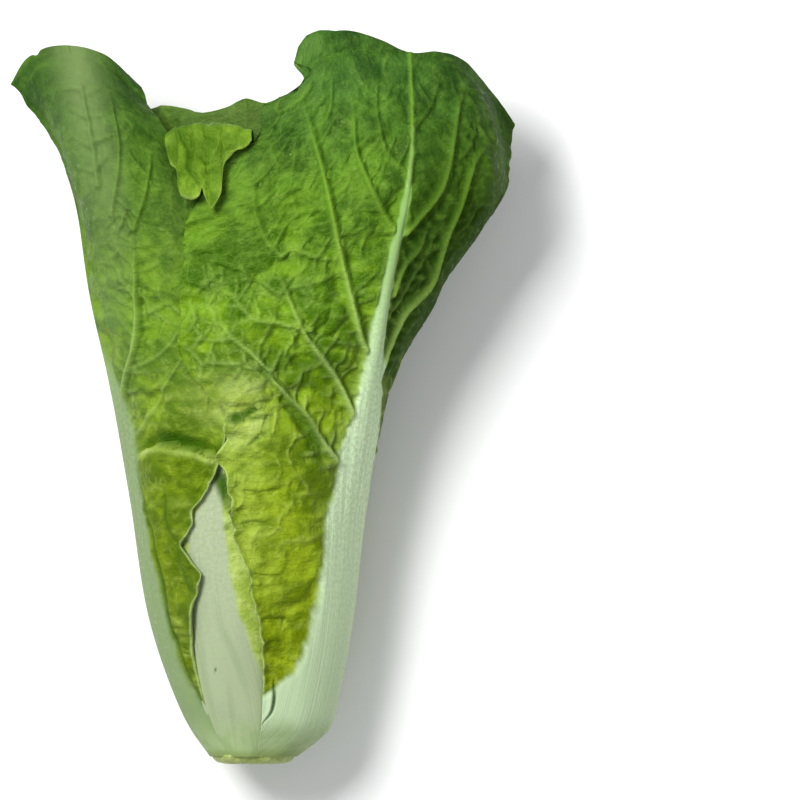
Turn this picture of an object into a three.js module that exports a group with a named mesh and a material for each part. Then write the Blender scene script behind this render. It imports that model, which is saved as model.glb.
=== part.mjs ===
// A head of baby bok choy, lying on its back leaf.
//
// The head's axis runs along +Y, from the cut butt to the leaf tips. +X is the head's right, and
// +Z points up, away from the surface that the head lies on. Lengths are in millimetres.
//
// Every leaf is one closed sheet: a thin blade that thickens into a fleshy midrib and petiole.
// Its outer face is a smooth surface through five lines that run from the leaf's foot to its tip,
// and its inner face lies one thickness inside it.

import * as THREE from 'three';
import { mergeVertices } from 'three/addons/utils/BufferGeometryUtils.js';

// ---------------------------------------------------------------------------------------------
// Driving dimensions
// ---------------------------------------------------------------------------------------------

const BLADE_THICKNESS = 1.2;
const AXIS_HEIGHT = 25; // the butt's centre above the surface, before the head is set down

// The butt: a cut disc, and a core that the petioles wrap round.
const BUTT_RADIUS = 10.5;
const BUTT_CUT_RADIUS = 9.4;
const BUTT_DISC_HEIGHT = 3;
const CORE_NECK_RADIUS = 6;
const CORE_TOP_RADIUS = 12.5;
const CORE_TOP_HEIGHT = 24;
const JOINT_GAP = 0.3;

const OUTER_FOOT = BUTT_DISC_HEIGHT + JOINT_GAP;
const INNER_FOOT = CORE_TOP_HEIGHT + JOINT_GAP;

/** A point of an outer leaf's foot: set out on the butt's rim, then spread by the petiole's flare. */
const FOOT_SPREAD = 1.12;
function foot(x, z) {
  return [x * FOOT_SPREAD, OUTER_FOOT, AXIS_HEIGHT + (z - AXIS_HEIGHT) * FOOT_SPREAD];
}

// The head's cross-section, an ellipse that widens towards the tips. Each row holds its height
// along the axis, its centre across and up, and its two half axes across and up.
const HEAD_SECTIONS = [
  { y: INNER_FOOT, centre: [0, 25], half: [24.5, 20.5] },
  { y: 50, centre: [0, 26], half: [29.5, 24.5] },
  { y: 75, centre: [-1, 27], half: [32.5, 26.5] },
  { y: 100, centre: [0, 28.5], half: [36.5, 27.5] },
  { y: 128, centre: [3, 30], half: [45, 28] },
  { y: 152, centre: [7, 30], half: [52, 28] },
  { y: 174, centre: [7, 31], half: [56, 29] },
];

const GREEN = { deep: 0x3f6f1f, leaf: 0x5f8f24, young: 0x86a536, pale: 0xc3d19b };

// ---------------------------------------------------------------------------------------------
// Outer leaves, each by its five lines from foot to tip, as [x, y, z]
// ---------------------------------------------------------------------------------------------

// The dominant leaf. Its petiole stands on the right, its left half covers the front of the
// head, and its right half folds back round the side.
const OUTER_LEAF_RIGHT = {
  leftEdge: [
    [1.5, OUTER_FOOT, 36.6], [2.4, 8, 39], [3, 14, 41.8], [1.5, 40, 47.8], [-7.5, 70, 52.2],
    [-18, 98, 56], [-19.5, 130, 57], [-10, 156, 57], [12, 189, 54],
  ],
  leftBlade: [
    [8.5, OUTER_FOOT, 34.4], [12.2, 8, 36.4], [14, 14, 38.6], [15.8, 40, 43.8], [14.6, 70, 50.5],
    [6.5, 98, 57], [9, 128, 60.5], [20, 161, 61.5], [23, 199.5, 52],
  ],
  midrib: [
    [12.6, OUTER_FOOT, 29.4], [18.7, 8, 30], [21.4, 14, 30.8], [25.5, 40, 33.6], [27.6, 70, 38.8],
    [31, 98, 44.5], [36, 128, 54], [43, 162, 59], [43, 195.5, 50],
  ],
  rightBlade: [
    [12.8, OUTER_FOOT, 23.2], [19.2, 8, 22.3], [22.2, 14, 21.5], [26.9, 40, 20.2], [30.7, 70, 23.4],
    [36.2, 98, 27], [49.5, 127, 37], [65, 158, 46], [59, 190, 43],
  ],
  rightEdge: [
    [9.6, OUTER_FOOT, 17.3], [13.6, 8, 14.7], [15.6, 14, 13], [17.7, 40, 7.4], [19.9, 70, 7.1],
    [26.5, 98, 9.5], [44, 127, 16.5], [67.5, 153, 24], [71.5, 175, 29],
  ],
};

// The leaf on the left. Its petiole is the head's left flank, its right half runs under the
// dominant leaf, and its top rolls outward.
const OUTER_LEAF_LEFT = {
  leftEdge: [
    foot(-6, 16.4), [-11.2, 14, 11], [-16.3, 40, 6.2], [-17.5, 70, 5],
    [-22, 98, 6.5], [-34, 128, 10], [-45, 156, 22], [-66, 185.5, 38],
  ],
  leftBlade: [
    foot(-9.3, 20.1), [-17.2, 14, 17], [-25, 40, 14.2], [-28.6, 70, 14],
    [-33, 98, 16.5], [-42.5, 128, 25], [-48.5, 157, 38], [-60, 193, 46],
  ],
  midrib: [
    foot(-10.5, 25), [-19.5, 14, 25], [-28.4, 40, 25], [-33, 70, 27],
    [-36.5, 98, 31], [-40, 128, 41], [-43, 160, 52], [-51, 196, 50],
  ],
  rightBlade: [
    foot(-9.1, 30.3), [-16.9, 14, 33.5], [-25, 40, 35.8], [-27, 70, 42],
    [-24, 98, 47.5], [-24, 128, 51.5], [-30, 160, 54], [-40, 193.5, 50],
  ],
  rightEdge: [
    foot(-5.6, 33.9), [-12, 14, 38.4], [-16, 40, 44], [-14, 70, 49.5],
    [-7, 98, 52.5], [-4, 128, 53.5], [-17, 158, 51], [-31, 186, 44],
  ],
};

// The leaf between them at the front. Its cream midrib shows at the foot, its blade runs up
// under both outer leaves, and its tip folds forward over the dominant leaf's edge.
const FRONT_LEAF = {
  leftEdge: [
    foot(-4, 34.2), [-10.5, 14, 34.8], [-16, 40, 39], [-21, 70, 40.5],
    [-25, 98, 42], [-27, 128, 44.5], [-21, 158, 46], [-20.5, 171.5, 51.5], [-20.5, 164, 57],
  ],
  leftBlade: [
    foot(-3.1, 34.9), [-7.5, 14, 38], [-12, 40, 43.3], [-16, 70, 45.5],
    [-17, 98, 47], [-18, 128, 48], [-16, 160, 47], [-17.5, 175.5, 54], [-17.5, 156, 60],
  ],
  midrib: [
    foot(-1.9, 35.3), [-3.5, 14, 40.4], [-6.5, 40, 45.6], [-8, 70, 48.5],
    [-7.5, 98, 49.3], [-8, 128, 49.8], [-9, 161, 48], [-12, 177, 55], [-11, 153, 62],
  ],
  rightBlade: [
    foot(-0.8, 35.3), [0.2, 14, 39.6], [-1, 40, 45.6], [2, 70, 48.4],
    [4, 98, 50], [4, 128, 51], [1, 160, 49.5], [-5.5, 176, 57], [-6, 160, 63],
  ],
  rightEdge: [
    foot(0.3, 35), [2.8, 14, 38], [5, 40, 43.5], [11, 70, 45.5],
    [15, 98, 46.5], [16, 128, 50], [3, 158, 49.5], [-4, 172.5, 57.5], [-1.5, 167, 63],
  ],
};

// The leaf that the head lies on. Its petiole's belly and its flattened blade rest on the
// surface. Left and right are as seen from outside, so its left edge is at +X.
const OUTER_LEAF_BACK = {
  leftEdge: [
    foot(5, 16), [12.5, 14, 11.2], [15, 40, 6], [17, 70, 5],
    [29, 98, 4.2], [44, 128, 5.5], [48, 152, 8.5], [40, 168, 10],
  ],
  leftBlade: [
    foot(2.8, 14.9), [6.5, 14, 8.9], [8, 40, 2.9], [9.5, 70, 1.5],
    [16, 98, 1.4], [25, 128, 1.2], [28, 153, 1.6], [22, 174.5, 4.5],
  ],
  midrib: [
    foot(0, 14.5), [1, 14, 8], [0, 40, 2], [1, 70, 0.5],
    [2, 98, 0.6], [3, 128, 0.3], [4, 153, 0.3], [4, 177, 3],
  ],
  rightBlade: [
    foot(-2.8, 14.9), [-4.5, 14, 8.7], [-7, 40, 2.9], [-7.5, 70, 1.3],
    [-12, 98, 1.3], [-18, 128, 1], [-20, 153, 1.6], [-15, 174, 4.5],
  ],
  rightEdge: [
    foot(-5, 16), [-9, 14, 10.4], [-13.5, 40, 5.4], [-14.5, 70, 3.5],
    [-25, 98, 2.8], [-37, 128, 3.8], [-38, 152, 7.5], [-30, 167, 10],
  ],
};

// ---------------------------------------------------------------------------------------------
// Inner leaves, each by its direction from the axis and how it nests inside the cross-section
// ---------------------------------------------------------------------------------------------

// facing is the direction of the midrib in degrees from +X towards +Z. depth is how far out the
// leaf lies, as a share of the head's cross-section, at the foot, petiole, neck, blade and tip.
// reach is how far its halves go round the head there, in degrees. lean moves its left edge out
// and its right edge in, so that neighbours overlap like tiles. shoulder is how much lower the
// edges end than the tip, where it isn't SHOULDER.
const SHOULDER = 9;
const INNER_LEAVES = [
  {
    name: 'inner_leaf_front', facing: 106, top: 182, lean: 0.02, rib: 4.2, colour: GREEN.leaf,
    depth: [0.6, 0.64, 0.58, 0.56, 0.58], reach: [44, 44, 41, 51, 58], shoulder: 4,
  },
  {
    name: 'second_leaf_right', facing: -35, top: 178, lean: 0.08, rib: 4.4, colour: GREEN.leaf,
    depth: [0.6, 0.68, 0.76, 0.82, 0.84], reach: [50, 50, 62, 72, 62],
  },
  {
    name: 'second_leaf_left', facing: 207, top: 179, lean: 0.08, rib: 4.4, colour: GREEN.leaf,
    depth: [0.6, 0.68, 0.74, 0.8, 0.8], reach: [50, 50, 52, 58, 54],
  },
  {
    name: 'inner_leaf_right', facing: -4, top: 174, lean: 0.02, rib: 3.6, colour: GREEN.leaf,
    depth: [0.36, 0.46, 0.58, 0.68, 0.7], reach: [40, 36, 40, 58, 52],
  },
  {
    name: 'inner_leaf_left', facing: 198, top: 172, lean: -0.01, rib: 3.6, colour: GREEN.leaf,
    depth: [0.36, 0.46, 0.58, 0.68, 0.68], reach: [40, 40, 46, 56, 50],
  },
  {
    name: 'inner_leaf_back', facing: -84, top: 168, lean: 0.02, rib: 3.4, colour: GREEN.young,
    depth: [0.36, 0.46, 0.5, 0.52, 0.5], reach: [34, 34, 36, 54, 50],
  },
  {
    name: 'inner_leaf_middle', facing: 86, top: 169, lean: 0.02, rib: 3.4, colour: GREEN.young,
    depth: [0.36, 0.44, 0.42, 0.4, 0.38], reach: [34, 34, 44, 58, 50],
  },
  {
    name: 'heart_leaf_front', facing: 100, top: 158, lean: 0.02, rib: 2.6, colour: GREEN.young,
    depth: [0.19, 0.27, 0.25, 0.25, 0.24], reach: [60, 60, 64, 68, 60],
  },
  {
    name: 'heart_leaf_back', facing: -76, top: 152, lean: 0.02, rib: 2.6, colour: GREEN.pale,
    depth: [0.19, 0.27, 0.28, 0.32, 0.3], reach: [60, 60, 64, 66, 60],
  },
];

// ---------------------------------------------------------------------------------------------
// Building
// ---------------------------------------------------------------------------------------------

const LINES_ACROSS = ['leftEdge', 'leftBlade', 'midrib', 'rightBlade', 'rightEdge'];

/** The value at share t of a list of evenly spaced knots, joined by straight stretches. */
function along(knots, t) {
  const place = Math.min(t, 0.999999) * (knots.length - 1);
  const before = Math.floor(place);
  return THREE.MathUtils.lerp(knots[before], knots[before + 1], place - before);
}

function smoothLine(points) {
  return new THREE.CatmullRomCurve3(points, false, 'catmullrom', 0.5);
}

/** A point of the leaf's outer face: u runs from the left edge to the right, v from foot to tip. */
function outerFace(lines, u, v) {
  const across = lines.map((line) => line.getPoint(v));
  return smoothLine(across).getPoint(u);
}

/** The outward direction of the leaf's outer face. */
function outward(lines, u, v) {
  const step = 0.01;
  const acrossStart = outerFace(lines, Math.max(u - step, 0), v);
  const acrossEnd = outerFace(lines, Math.min(u + step, 1), v);
  const alongStart = outerFace(lines, u, Math.max(v - step, 0));
  const alongEnd = outerFace(lines, u, Math.min(v + step, 1));
  const across = acrossEnd.sub(acrossStart);
  const upward = alongEnd.sub(alongStart);
  return across.cross(upward).normalize();
}

/** The leaf's thickness: fleshy along the midrib, thin in the blade. */
function thickness(rib, u, v) {
  const ribThickness = along(rib.thickness, v);
  const ribShare = along(rib.share, v);
  const offset = (2 * u - 1) / ribShare;
  return BLADE_THICKNESS + (ribThickness - BLADE_THICKNESS) * Math.exp(-offset * offset);
}

/** One closed leaf: outer face, inner face, and the strip that joins them round the rim. */
function leafGeometry(leaf) {
  const { across, length } = leaf.grid;
  const lines = LINES_ACROSS.map((key) => {
    const points = leaf.lines[key].map((point) => new THREE.Vector3(...point));
    return smoothLine(points);
  });
  const positions = [];
  const inner = [];
  for (let row = 0; row <= length; row += 1) {
    for (let column = 0; column <= across; column += 1) {
      const u = column / across;
      const v = row / length;
      const point = outerFace(lines, u, v);
      const depth = thickness(leaf.rib, u, v);
      positions.push(point);
      inner.push(point.clone().addScaledVector(outward(lines, u, v), -depth));
    }
  }
  positions.push(...inner);

  const faceCount = inner.length;
  const index = (column, row) => row * (across + 1) + column;
  const triangles = [];
  const quad = (a, b, c, d) => triangles.push(a, b, c, a, c, d);
  for (let row = 0; row < length; row += 1) {
    for (let column = 0; column < across; column += 1) {
      const a = index(column, row);
      const b = index(column + 1, row);
      const c = index(column + 1, row + 1);
      const d = index(column, row + 1);
      quad(a, b, c, d);
      quad(faceCount + d, faceCount + c, faceCount + b, faceCount + a);
    }
  }

  const rim = [];
  for (let column = 0; column < across; column += 1) {
    rim.push(index(column, 0));
  }
  for (let row = 0; row < length; row += 1) {
    rim.push(index(across, row));
  }
  for (let column = across; column > 0; column -= 1) {
    rim.push(index(column, length));
  }
  for (let row = length; row > 0; row -= 1) {
    rim.push(index(0, row));
  }
  rim.forEach((here, place) => {
    const next = rim[(place + 1) % rim.length];
    quad(here, faceCount + here, faceCount + next, next);
  });

  const geometry = new THREE.BufferGeometry().setFromPoints(positions);
  geometry.setIndex(triangles);
  return geometry;
}

/** The head's cross-section at a height along its axis. */
function headSection(y) {
  const last = HEAD_SECTIONS.length - 1;
  const above = HEAD_SECTIONS.findIndex((section) => section.y >= y);
  const upper = above < 0 ? last : Math.max(above, 1);
  const low = HEAD_SECTIONS[upper - 1];
  const high = HEAD_SECTIONS[upper];
  const t = (y - low.y) / (high.y - low.y);
  const mix = (key, axis) => THREE.MathUtils.lerp(low[key][axis], high[key][axis], t);
  return {
    centre: [mix('centre', 0), mix('centre', 1)],
    half: [mix('half', 0), mix('half', 1)],
  };
}

/** The five lines of an inner leaf, from its direction, depth and reach. */
function innerLeafLines(leaf) {
  const rows = 7;
  const shoulder = leaf.shoulder ?? SHOULDER;
  const lines = {};
  LINES_ACROSS.forEach((key, place) => {
    const side = 1 - place / 2; // 1 at the left edge, 0 at the midrib, -1 at the right edge
    lines[key] = [];
    for (let row = 0; row < rows; row += 1) {
      const v = row / (rows - 1);
      const drop = shoulder * side * side * v * v;
      const y = THREE.MathUtils.lerp(INNER_FOOT, leaf.top, v) - drop;
      const section = headSection(y);
      const depth = along(leaf.depth, v) + leaf.lean * side * v;
      const angle = THREE.MathUtils.degToRad(leaf.facing + side * along(leaf.reach, v));
      lines[key].push([
        section.centre[0] + section.half[0] * depth * Math.cos(angle),
        y,
        section.centre[1] + section.half[1] * depth * Math.sin(angle),
      ]);
    }
  });
  return lines;
}

/** The stem base: a cut disc, a neck, and a core that widens to carry the inner leaves. */
function buttGeometry() {
  const profile = [
    [0, 0],
    [BUTT_CUT_RADIUS, 0],
    [BUTT_RADIUS, 1.1],
    [BUTT_RADIUS, BUTT_DISC_HEIGHT],
    [CORE_NECK_RADIUS, BUTT_DISC_HEIGHT],
    [CORE_NECK_RADIUS, 8],
    [CORE_TOP_RADIUS - 3, 16],
    [CORE_TOP_RADIUS, CORE_TOP_HEIGHT - 2],
    [CORE_TOP_RADIUS - 1.5, CORE_TOP_HEIGHT],
    [0, CORE_TOP_HEIGHT],
  ];
  const outline = profile.map(([radius, height]) => new THREE.Vector2(radius, height));
  const geometry = new THREE.LatheGeometry(outline, 28);
  geometry.deleteAttribute('normal');
  geometry.deleteAttribute('uv');
  geometry.translate(0, 0, AXIS_HEIGHT);
  return mergeVertices(geometry, 1e-4);
}

function addPiece(group, name, geometry, colour, roughness) {
  const material = new THREE.MeshStandardMaterial({ color: colour, roughness, metalness: 0 });
  const mesh = new THREE.Mesh(geometry, material);
  mesh.name = name;
  group.add(mesh);
}

const OUTER_GRID = { across: 12, length: 18 };
const INNER_GRID = { across: 8, length: 12 };
const OUTER_LEAVES = [
  {
    name: 'outer_leaf_right', lines: OUTER_LEAF_RIGHT, colour: GREEN.leaf,
    rib: { thickness: [3.4, 6.4, 6.4, 4, 2.2, 1.4], share: [0.7, 0.55, 0.45, 0.22, 0.14, 0.1] },
  },
  {
    name: 'outer_leaf_left', lines: OUTER_LEAF_LEFT, colour: GREEN.deep,
    rib: { thickness: [3.4, 6, 6, 3.8, 2.2, 1.4], share: [0.7, 0.55, 0.45, 0.25, 0.14, 0.1] },
  },
  {
    name: 'front_leaf', lines: FRONT_LEAF, colour: GREEN.pale,
    rib: { thickness: [3, 4.6, 4, 2.4, 1.6, 1.2], share: [0.9, 0.7, 0.5, 0.25, 0.14, 0.1] },
  },
  {
    name: 'outer_leaf_back', lines: OUTER_LEAF_BACK, colour: GREEN.leaf,
    rib: { thickness: [3.4, 6, 6, 3.6, 2.2, 1.4], share: [0.9, 0.8, 0.6, 0.25, 0.14, 0.1] },
  },
];

const head = new THREE.Group();
addPiece(head, 'butt', buttGeometry(), 0xa9b56c, 0.6);
OUTER_LEAVES.forEach((leaf) => {
  const geometry = leafGeometry({ ...leaf, grid: OUTER_GRID });
  addPiece(head, leaf.name, geometry, leaf.colour, 0.45);
});
INNER_LEAVES.forEach((leaf) => {
  const rib = {
    thickness: [leaf.rib * 0.8, leaf.rib, leaf.rib * 0.9, leaf.rib * 0.6, 1.8, BLADE_THICKNESS],
    share: [0.9, 0.8, 0.6, 0.3, 0.16, 0.1],
  };
  const geometry = leafGeometry({ lines: innerLeafLines(leaf), rib, grid: INNER_GRID });
  addPiece(head, leaf.name, geometry, leaf.colour, 0.45);
});

// The head is set down on the surface, with the origin under the middle of its box.
const box = new THREE.Box3().setFromObject(head, true);
const middle = box.getCenter(new THREE.Vector3());
head.position.set(-middle.x, -middle.y, -box.min.z);

export default head;
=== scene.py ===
import bpy
import math
import numpy as np
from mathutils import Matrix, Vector


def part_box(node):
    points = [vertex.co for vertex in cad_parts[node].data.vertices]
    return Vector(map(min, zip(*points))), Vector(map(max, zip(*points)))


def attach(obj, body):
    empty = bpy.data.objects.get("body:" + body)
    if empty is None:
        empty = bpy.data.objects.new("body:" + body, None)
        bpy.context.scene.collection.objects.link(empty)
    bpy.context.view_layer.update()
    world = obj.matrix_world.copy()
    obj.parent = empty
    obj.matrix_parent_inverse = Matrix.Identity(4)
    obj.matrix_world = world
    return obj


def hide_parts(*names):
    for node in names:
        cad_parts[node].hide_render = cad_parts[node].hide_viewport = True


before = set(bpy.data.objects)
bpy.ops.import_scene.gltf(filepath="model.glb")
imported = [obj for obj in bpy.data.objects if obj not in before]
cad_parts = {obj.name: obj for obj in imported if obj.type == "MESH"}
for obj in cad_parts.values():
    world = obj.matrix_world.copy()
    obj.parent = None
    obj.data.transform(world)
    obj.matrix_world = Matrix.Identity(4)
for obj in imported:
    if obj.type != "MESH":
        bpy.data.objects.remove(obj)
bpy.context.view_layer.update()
MM = 0.001


# ------------------------------------------------------------------------------------------------
# The table top, the light and the camera. A pale matt board, one soft lamp over the head's upper
# left and a weak one opposite, and a long lens looking straight down on the head as it lies.
# ------------------------------------------------------------------------------------------------
CAMERA_HEIGHT = 4.0
PICTURE_WIDTH = 0.2177     # what the lens takes in at the height of the leaves
LEAF_HEIGHT = 0.045
SENSOR = 36.0
PICTURE_CENTRE = (0.0375, -0.0002)
FURTHEST_VIEW = 20.0
ROOM_COLOUR = (0.96, 0.98, 1.0, 1.0)
ROOM_STRENGTH = 0.42
TABLE_SIZE = 6.0
TABLE_ROUGHNESS = 0.7
TABLE_GRAIN = 40.0
TABLE_WARM = (0.93, 0.93, 0.92, 1.0)
TABLE_PALE = (0.95, 0.95, 0.95, 1.0)

camera_data = bpy.data.cameras.new("camera")
camera_data.sensor_width = SENSOR
camera_data.lens = SENSOR * (CAMERA_HEIGHT - LEAF_HEIGHT) / PICTURE_WIDTH
camera_data.clip_end = FURTHEST_VIEW
camera = bpy.data.objects.new("camera", camera_data)
camera.location = (*PICTURE_CENTRE, CAMERA_HEIGHT)
bpy.context.scene.collection.objects.link(camera)
bpy.context.scene.camera = camera
bpy.context.scene.view_settings.view_transform = "Standard"


def lamp(name, place, power, size):
    light = bpy.data.lights.new(name, "AREA")
    light.energy = power
    light.size = size
    holder = bpy.data.objects.new(name, light)
    holder.location = place
    holder.rotation_euler = (-Vector(place)).to_track_quat("-Z", "Y").to_euler()
    bpy.context.scene.collection.objects.link(holder)


lamp("key_lamp", place=(-0.46, 0.42, 1.0), power=16.0, size=0.42)
lamp("fill_lamp", place=(0.3, -0.4, 1.4), power=3.0, size=1.4)

room = bpy.data.worlds.new("room")
room.use_nodes = True
sky = room.node_tree.nodes["Background"]
sky.inputs["Color"].default_value = ROOM_COLOUR
sky.inputs["Strength"].default_value = ROOM_STRENGTH
bpy.context.scene.world = room

bpy.ops.mesh.primitive_plane_add(size=TABLE_SIZE)
table_top = bpy.context.object
table_top.name = "table_top"
table_paint = bpy.data.materials.new("table_paint")
table_paint.use_nodes = True
paint = table_paint.node_tree.nodes["Principled BSDF"]
paint.inputs["Roughness"].default_value = TABLE_ROUGHNESS
grain = table_paint.node_tree.nodes.new("ShaderNodeTexNoise")
grain.inputs["Scale"].default_value = TABLE_GRAIN
tint = table_paint.node_tree.nodes.new("ShaderNodeMix")
tint.data_type = "RGBA"
tint.inputs["A"].default_value = TABLE_WARM
tint.inputs["B"].default_value = TABLE_PALE
table_paint.node_tree.links.new(grain.outputs["Fac"], tint.inputs["Factor"])
table_paint.node_tree.links.new(tint.outputs["Result"], paint.inputs["Base Color"])
table_top.data.materials.append(table_paint)


# ------------------------------------------------------------------------------------------------
# The outer right leaf, the largest one. A fleshy pale petiole runs up into a thick midrib, with a
# thin quilted blade on both sides. Its left half wraps the head's front, its right half folds
# back round the side. All lengths are in millimetres from the butt's cut face on the head's axis.
# ------------------------------------------------------------------------------------------------
butt_low, butt_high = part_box("butt")
AXIS_HEIGHT = 25.0
HEAD_PLACE = np.array([
    (butt_low[0] + butt_high[0]) / 2,
    butt_low[1],
    (butt_low[2] + butt_high[2]) / 2 - AXIS_HEIGHT * MM,
])
OUTER_FOOT = 2.1
HEAD_LENGTH = 200.0
STREAK_SLOPE = 1.2         # how steeply the pale streaks climb away from the rib
VEIN_HEIGHT = 1.6
PILLOW_DEPTH = 3.5         # how far the blade sinks between the quilting's ridges
SMALL_DEPTH = 0.4
CREST_HEIGHT = 1.15
SWELL_LONG = 1.3
STRIPE_HEIGHT = 0.045
LINES_ACROSS = ("left_edge", "left_blade", "midrib", "right_blade", "right_edge")


def smooth_weights(count, places):
    """How much each of count evenly spaced knots weighs at each place from 0 to 1, on a smooth
    curve through them all."""
    position = places * (count - 1)
    start = np.clip(np.floor(position), 0, count - 2).astype(int)
    f = position - start
    basis = (
        -0.5 * f + f ** 2 - 0.5 * f ** 3,
        1 - 2.5 * f ** 2 + 1.5 * f ** 3,
        0.5 * f + 2 * f ** 2 - 1.5 * f ** 3,
        -0.5 * f ** 2 + 0.5 * f ** 3,
    )
    weights = np.zeros((len(places), count))
    rows = np.arange(len(places))
    for step, weight in zip((-1, 0, 1, 2), basis):
        knot = start + step
        inside = (knot >= 0) & (knot < count)
        np.add.at(weights, (rows[inside], knot[inside]), weight[inside])
        before = knot < 0
        np.add.at(weights, (rows[before], 0), 2 * weight[before])
        np.add.at(weights, (rows[before], 1), -weight[before])
        after = knot >= count
        np.add.at(weights, (rows[after], count - 1), 2 * weight[after])
        np.add.at(weights, (rows[after], count - 2), -weight[after])
    return weights


def profile(knots, places):
    """A smooth value along knots given as (place, value)."""
    at, value = np.array(knots, float).T
    spot = np.interp(places, at, np.arange(len(at)))
    shape = spot.shape
    weights = smooth_weights(len(at), spot.ravel() / (len(at) - 1))
    return (weights @ value).reshape(shape)


def smooth_step(low, high, value):
    t = np.clip((value - low) / (high - low), 0, 1)
    return t * t * (3 - 2 * t)


def scatter(ix, iy, seed):
    """A repeatable number from 0 to 1 for each cell of a grid."""
    mixed = (ix.astype(np.int64) * 374761393 + iy.astype(np.int64) * 668265263 + seed * 974711)
    mixed = (mixed ^ (mixed >> 13)) * 1274126177
    mixed = mixed ^ (mixed >> 16)
    return (mixed & 0xFFFFFF) / float(0xFFFFFF)


def waves(x, y, size, seed):
    """Smooth rolling noise from -1 to 1, with swells about one size apart."""
    gx, gy = x / size, y / size
    ix, iy = np.floor(gx), np.floor(gy)
    fx, fy = gx - ix, gy - iy
    fx, fy = fx * fx * (3 - 2 * fx), fy * fy * (3 - 2 * fy)
    low = scatter(ix, iy, seed) * (1 - fx) + scatter(ix + 1, iy, seed) * fx
    high = scatter(ix, iy + 1, seed) * (1 - fx) + scatter(ix + 1, iy + 1, seed) * fx
    return 2 * (low * (1 - fy) + high * fy) - 1


def quilt(x, y, size, seed):
    """Irregular cells about one size across: how far each point is from its cell's border, from 0
    there to about 1 in the middle, and a number of its own for each cell."""
    gx, gy = x / size, y / size
    ix, iy = np.floor(gx), np.floor(gy)
    first = np.full(x.shape, 9.0)
    second = np.full(x.shape, 9.0)
    own = np.zeros(x.shape)
    for dx in (-1, 0, 1):
        for dy in (-1, 0, 1):
            cx, cy = ix + dx, iy + dy
            px = cx + 0.15 + 0.7 * scatter(cx, cy, seed)
            py = cy + 0.15 + 0.7 * scatter(cx, cy, seed + 7)
            reach = np.hypot(gx - px, gy - py)
            nearer = reach < first
            second = np.where(nearer, first, np.minimum(second, reach))
            own = np.where(nearer, scatter(cx, cy, seed + 13), own)
            first = np.where(nearer, reach, first)
    return np.clip((second - first) * 1.6, 0, 1), own


def crinkles(x, y, size, seed):
    """Sharp crests that wander about one size apart: 1 on a crest and 0 between them."""
    bent_x = x + 0.5 * size * waves(x, y, 1.7 * size, seed)
    bent_y = y + 0.5 * size * waves(x, y, 1.7 * size, seed + 1)
    turn = math.radians(35)
    turned_x = math.cos(turn) * bent_x + math.sin(turn) * bent_y
    turned_y = math.cos(turn) * bent_y - math.sin(turn) * bent_x
    return (1 - np.abs(waves(turned_x, turned_y, size, seed + 2))) ** 5


def path_distance(x, y, path):
    """Distance from each point to a path, how far along the path that is from 0 to 1, on which
    side, and 1 where the point lies to the right of the path or nearer the foot."""
    path = np.array(path, float)
    nearest = np.full(x.shape, 1e9)
    share = np.zeros(x.shape)
    side = np.ones(x.shape)
    lee = np.zeros(x.shape)
    lengths = np.hypot(*np.diff(path, axis=0).T)
    total = lengths.sum()
    run = 0.0
    for start, end, length in zip(path[:-1], path[1:], lengths):
        dx, dy = (end - start) / length
        along = np.clip((x - start[0]) * dx + (y - start[1]) * dy, 0, length)
        ox, oy = x - start[0] - along * dx, y - start[1] - along * dy
        reach = np.hypot(ox, oy)
        closer = reach < nearest
        nearest = np.where(closer, reach, nearest)
        share = np.where(closer, (run + along) / total, share)
        side = np.where(closer, np.sign(dx * oy - dy * ox), side)
        lee = np.where(closer, ox > oy, lee)
        run += length
    return nearest, share, side, lee


def smooth_path(points, pieces=6):
    points = np.array(points, float)
    places = np.linspace(0, 1, pieces * (len(points) - 1) + 1)
    return smooth_weights(len(points), places) @ points


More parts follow.
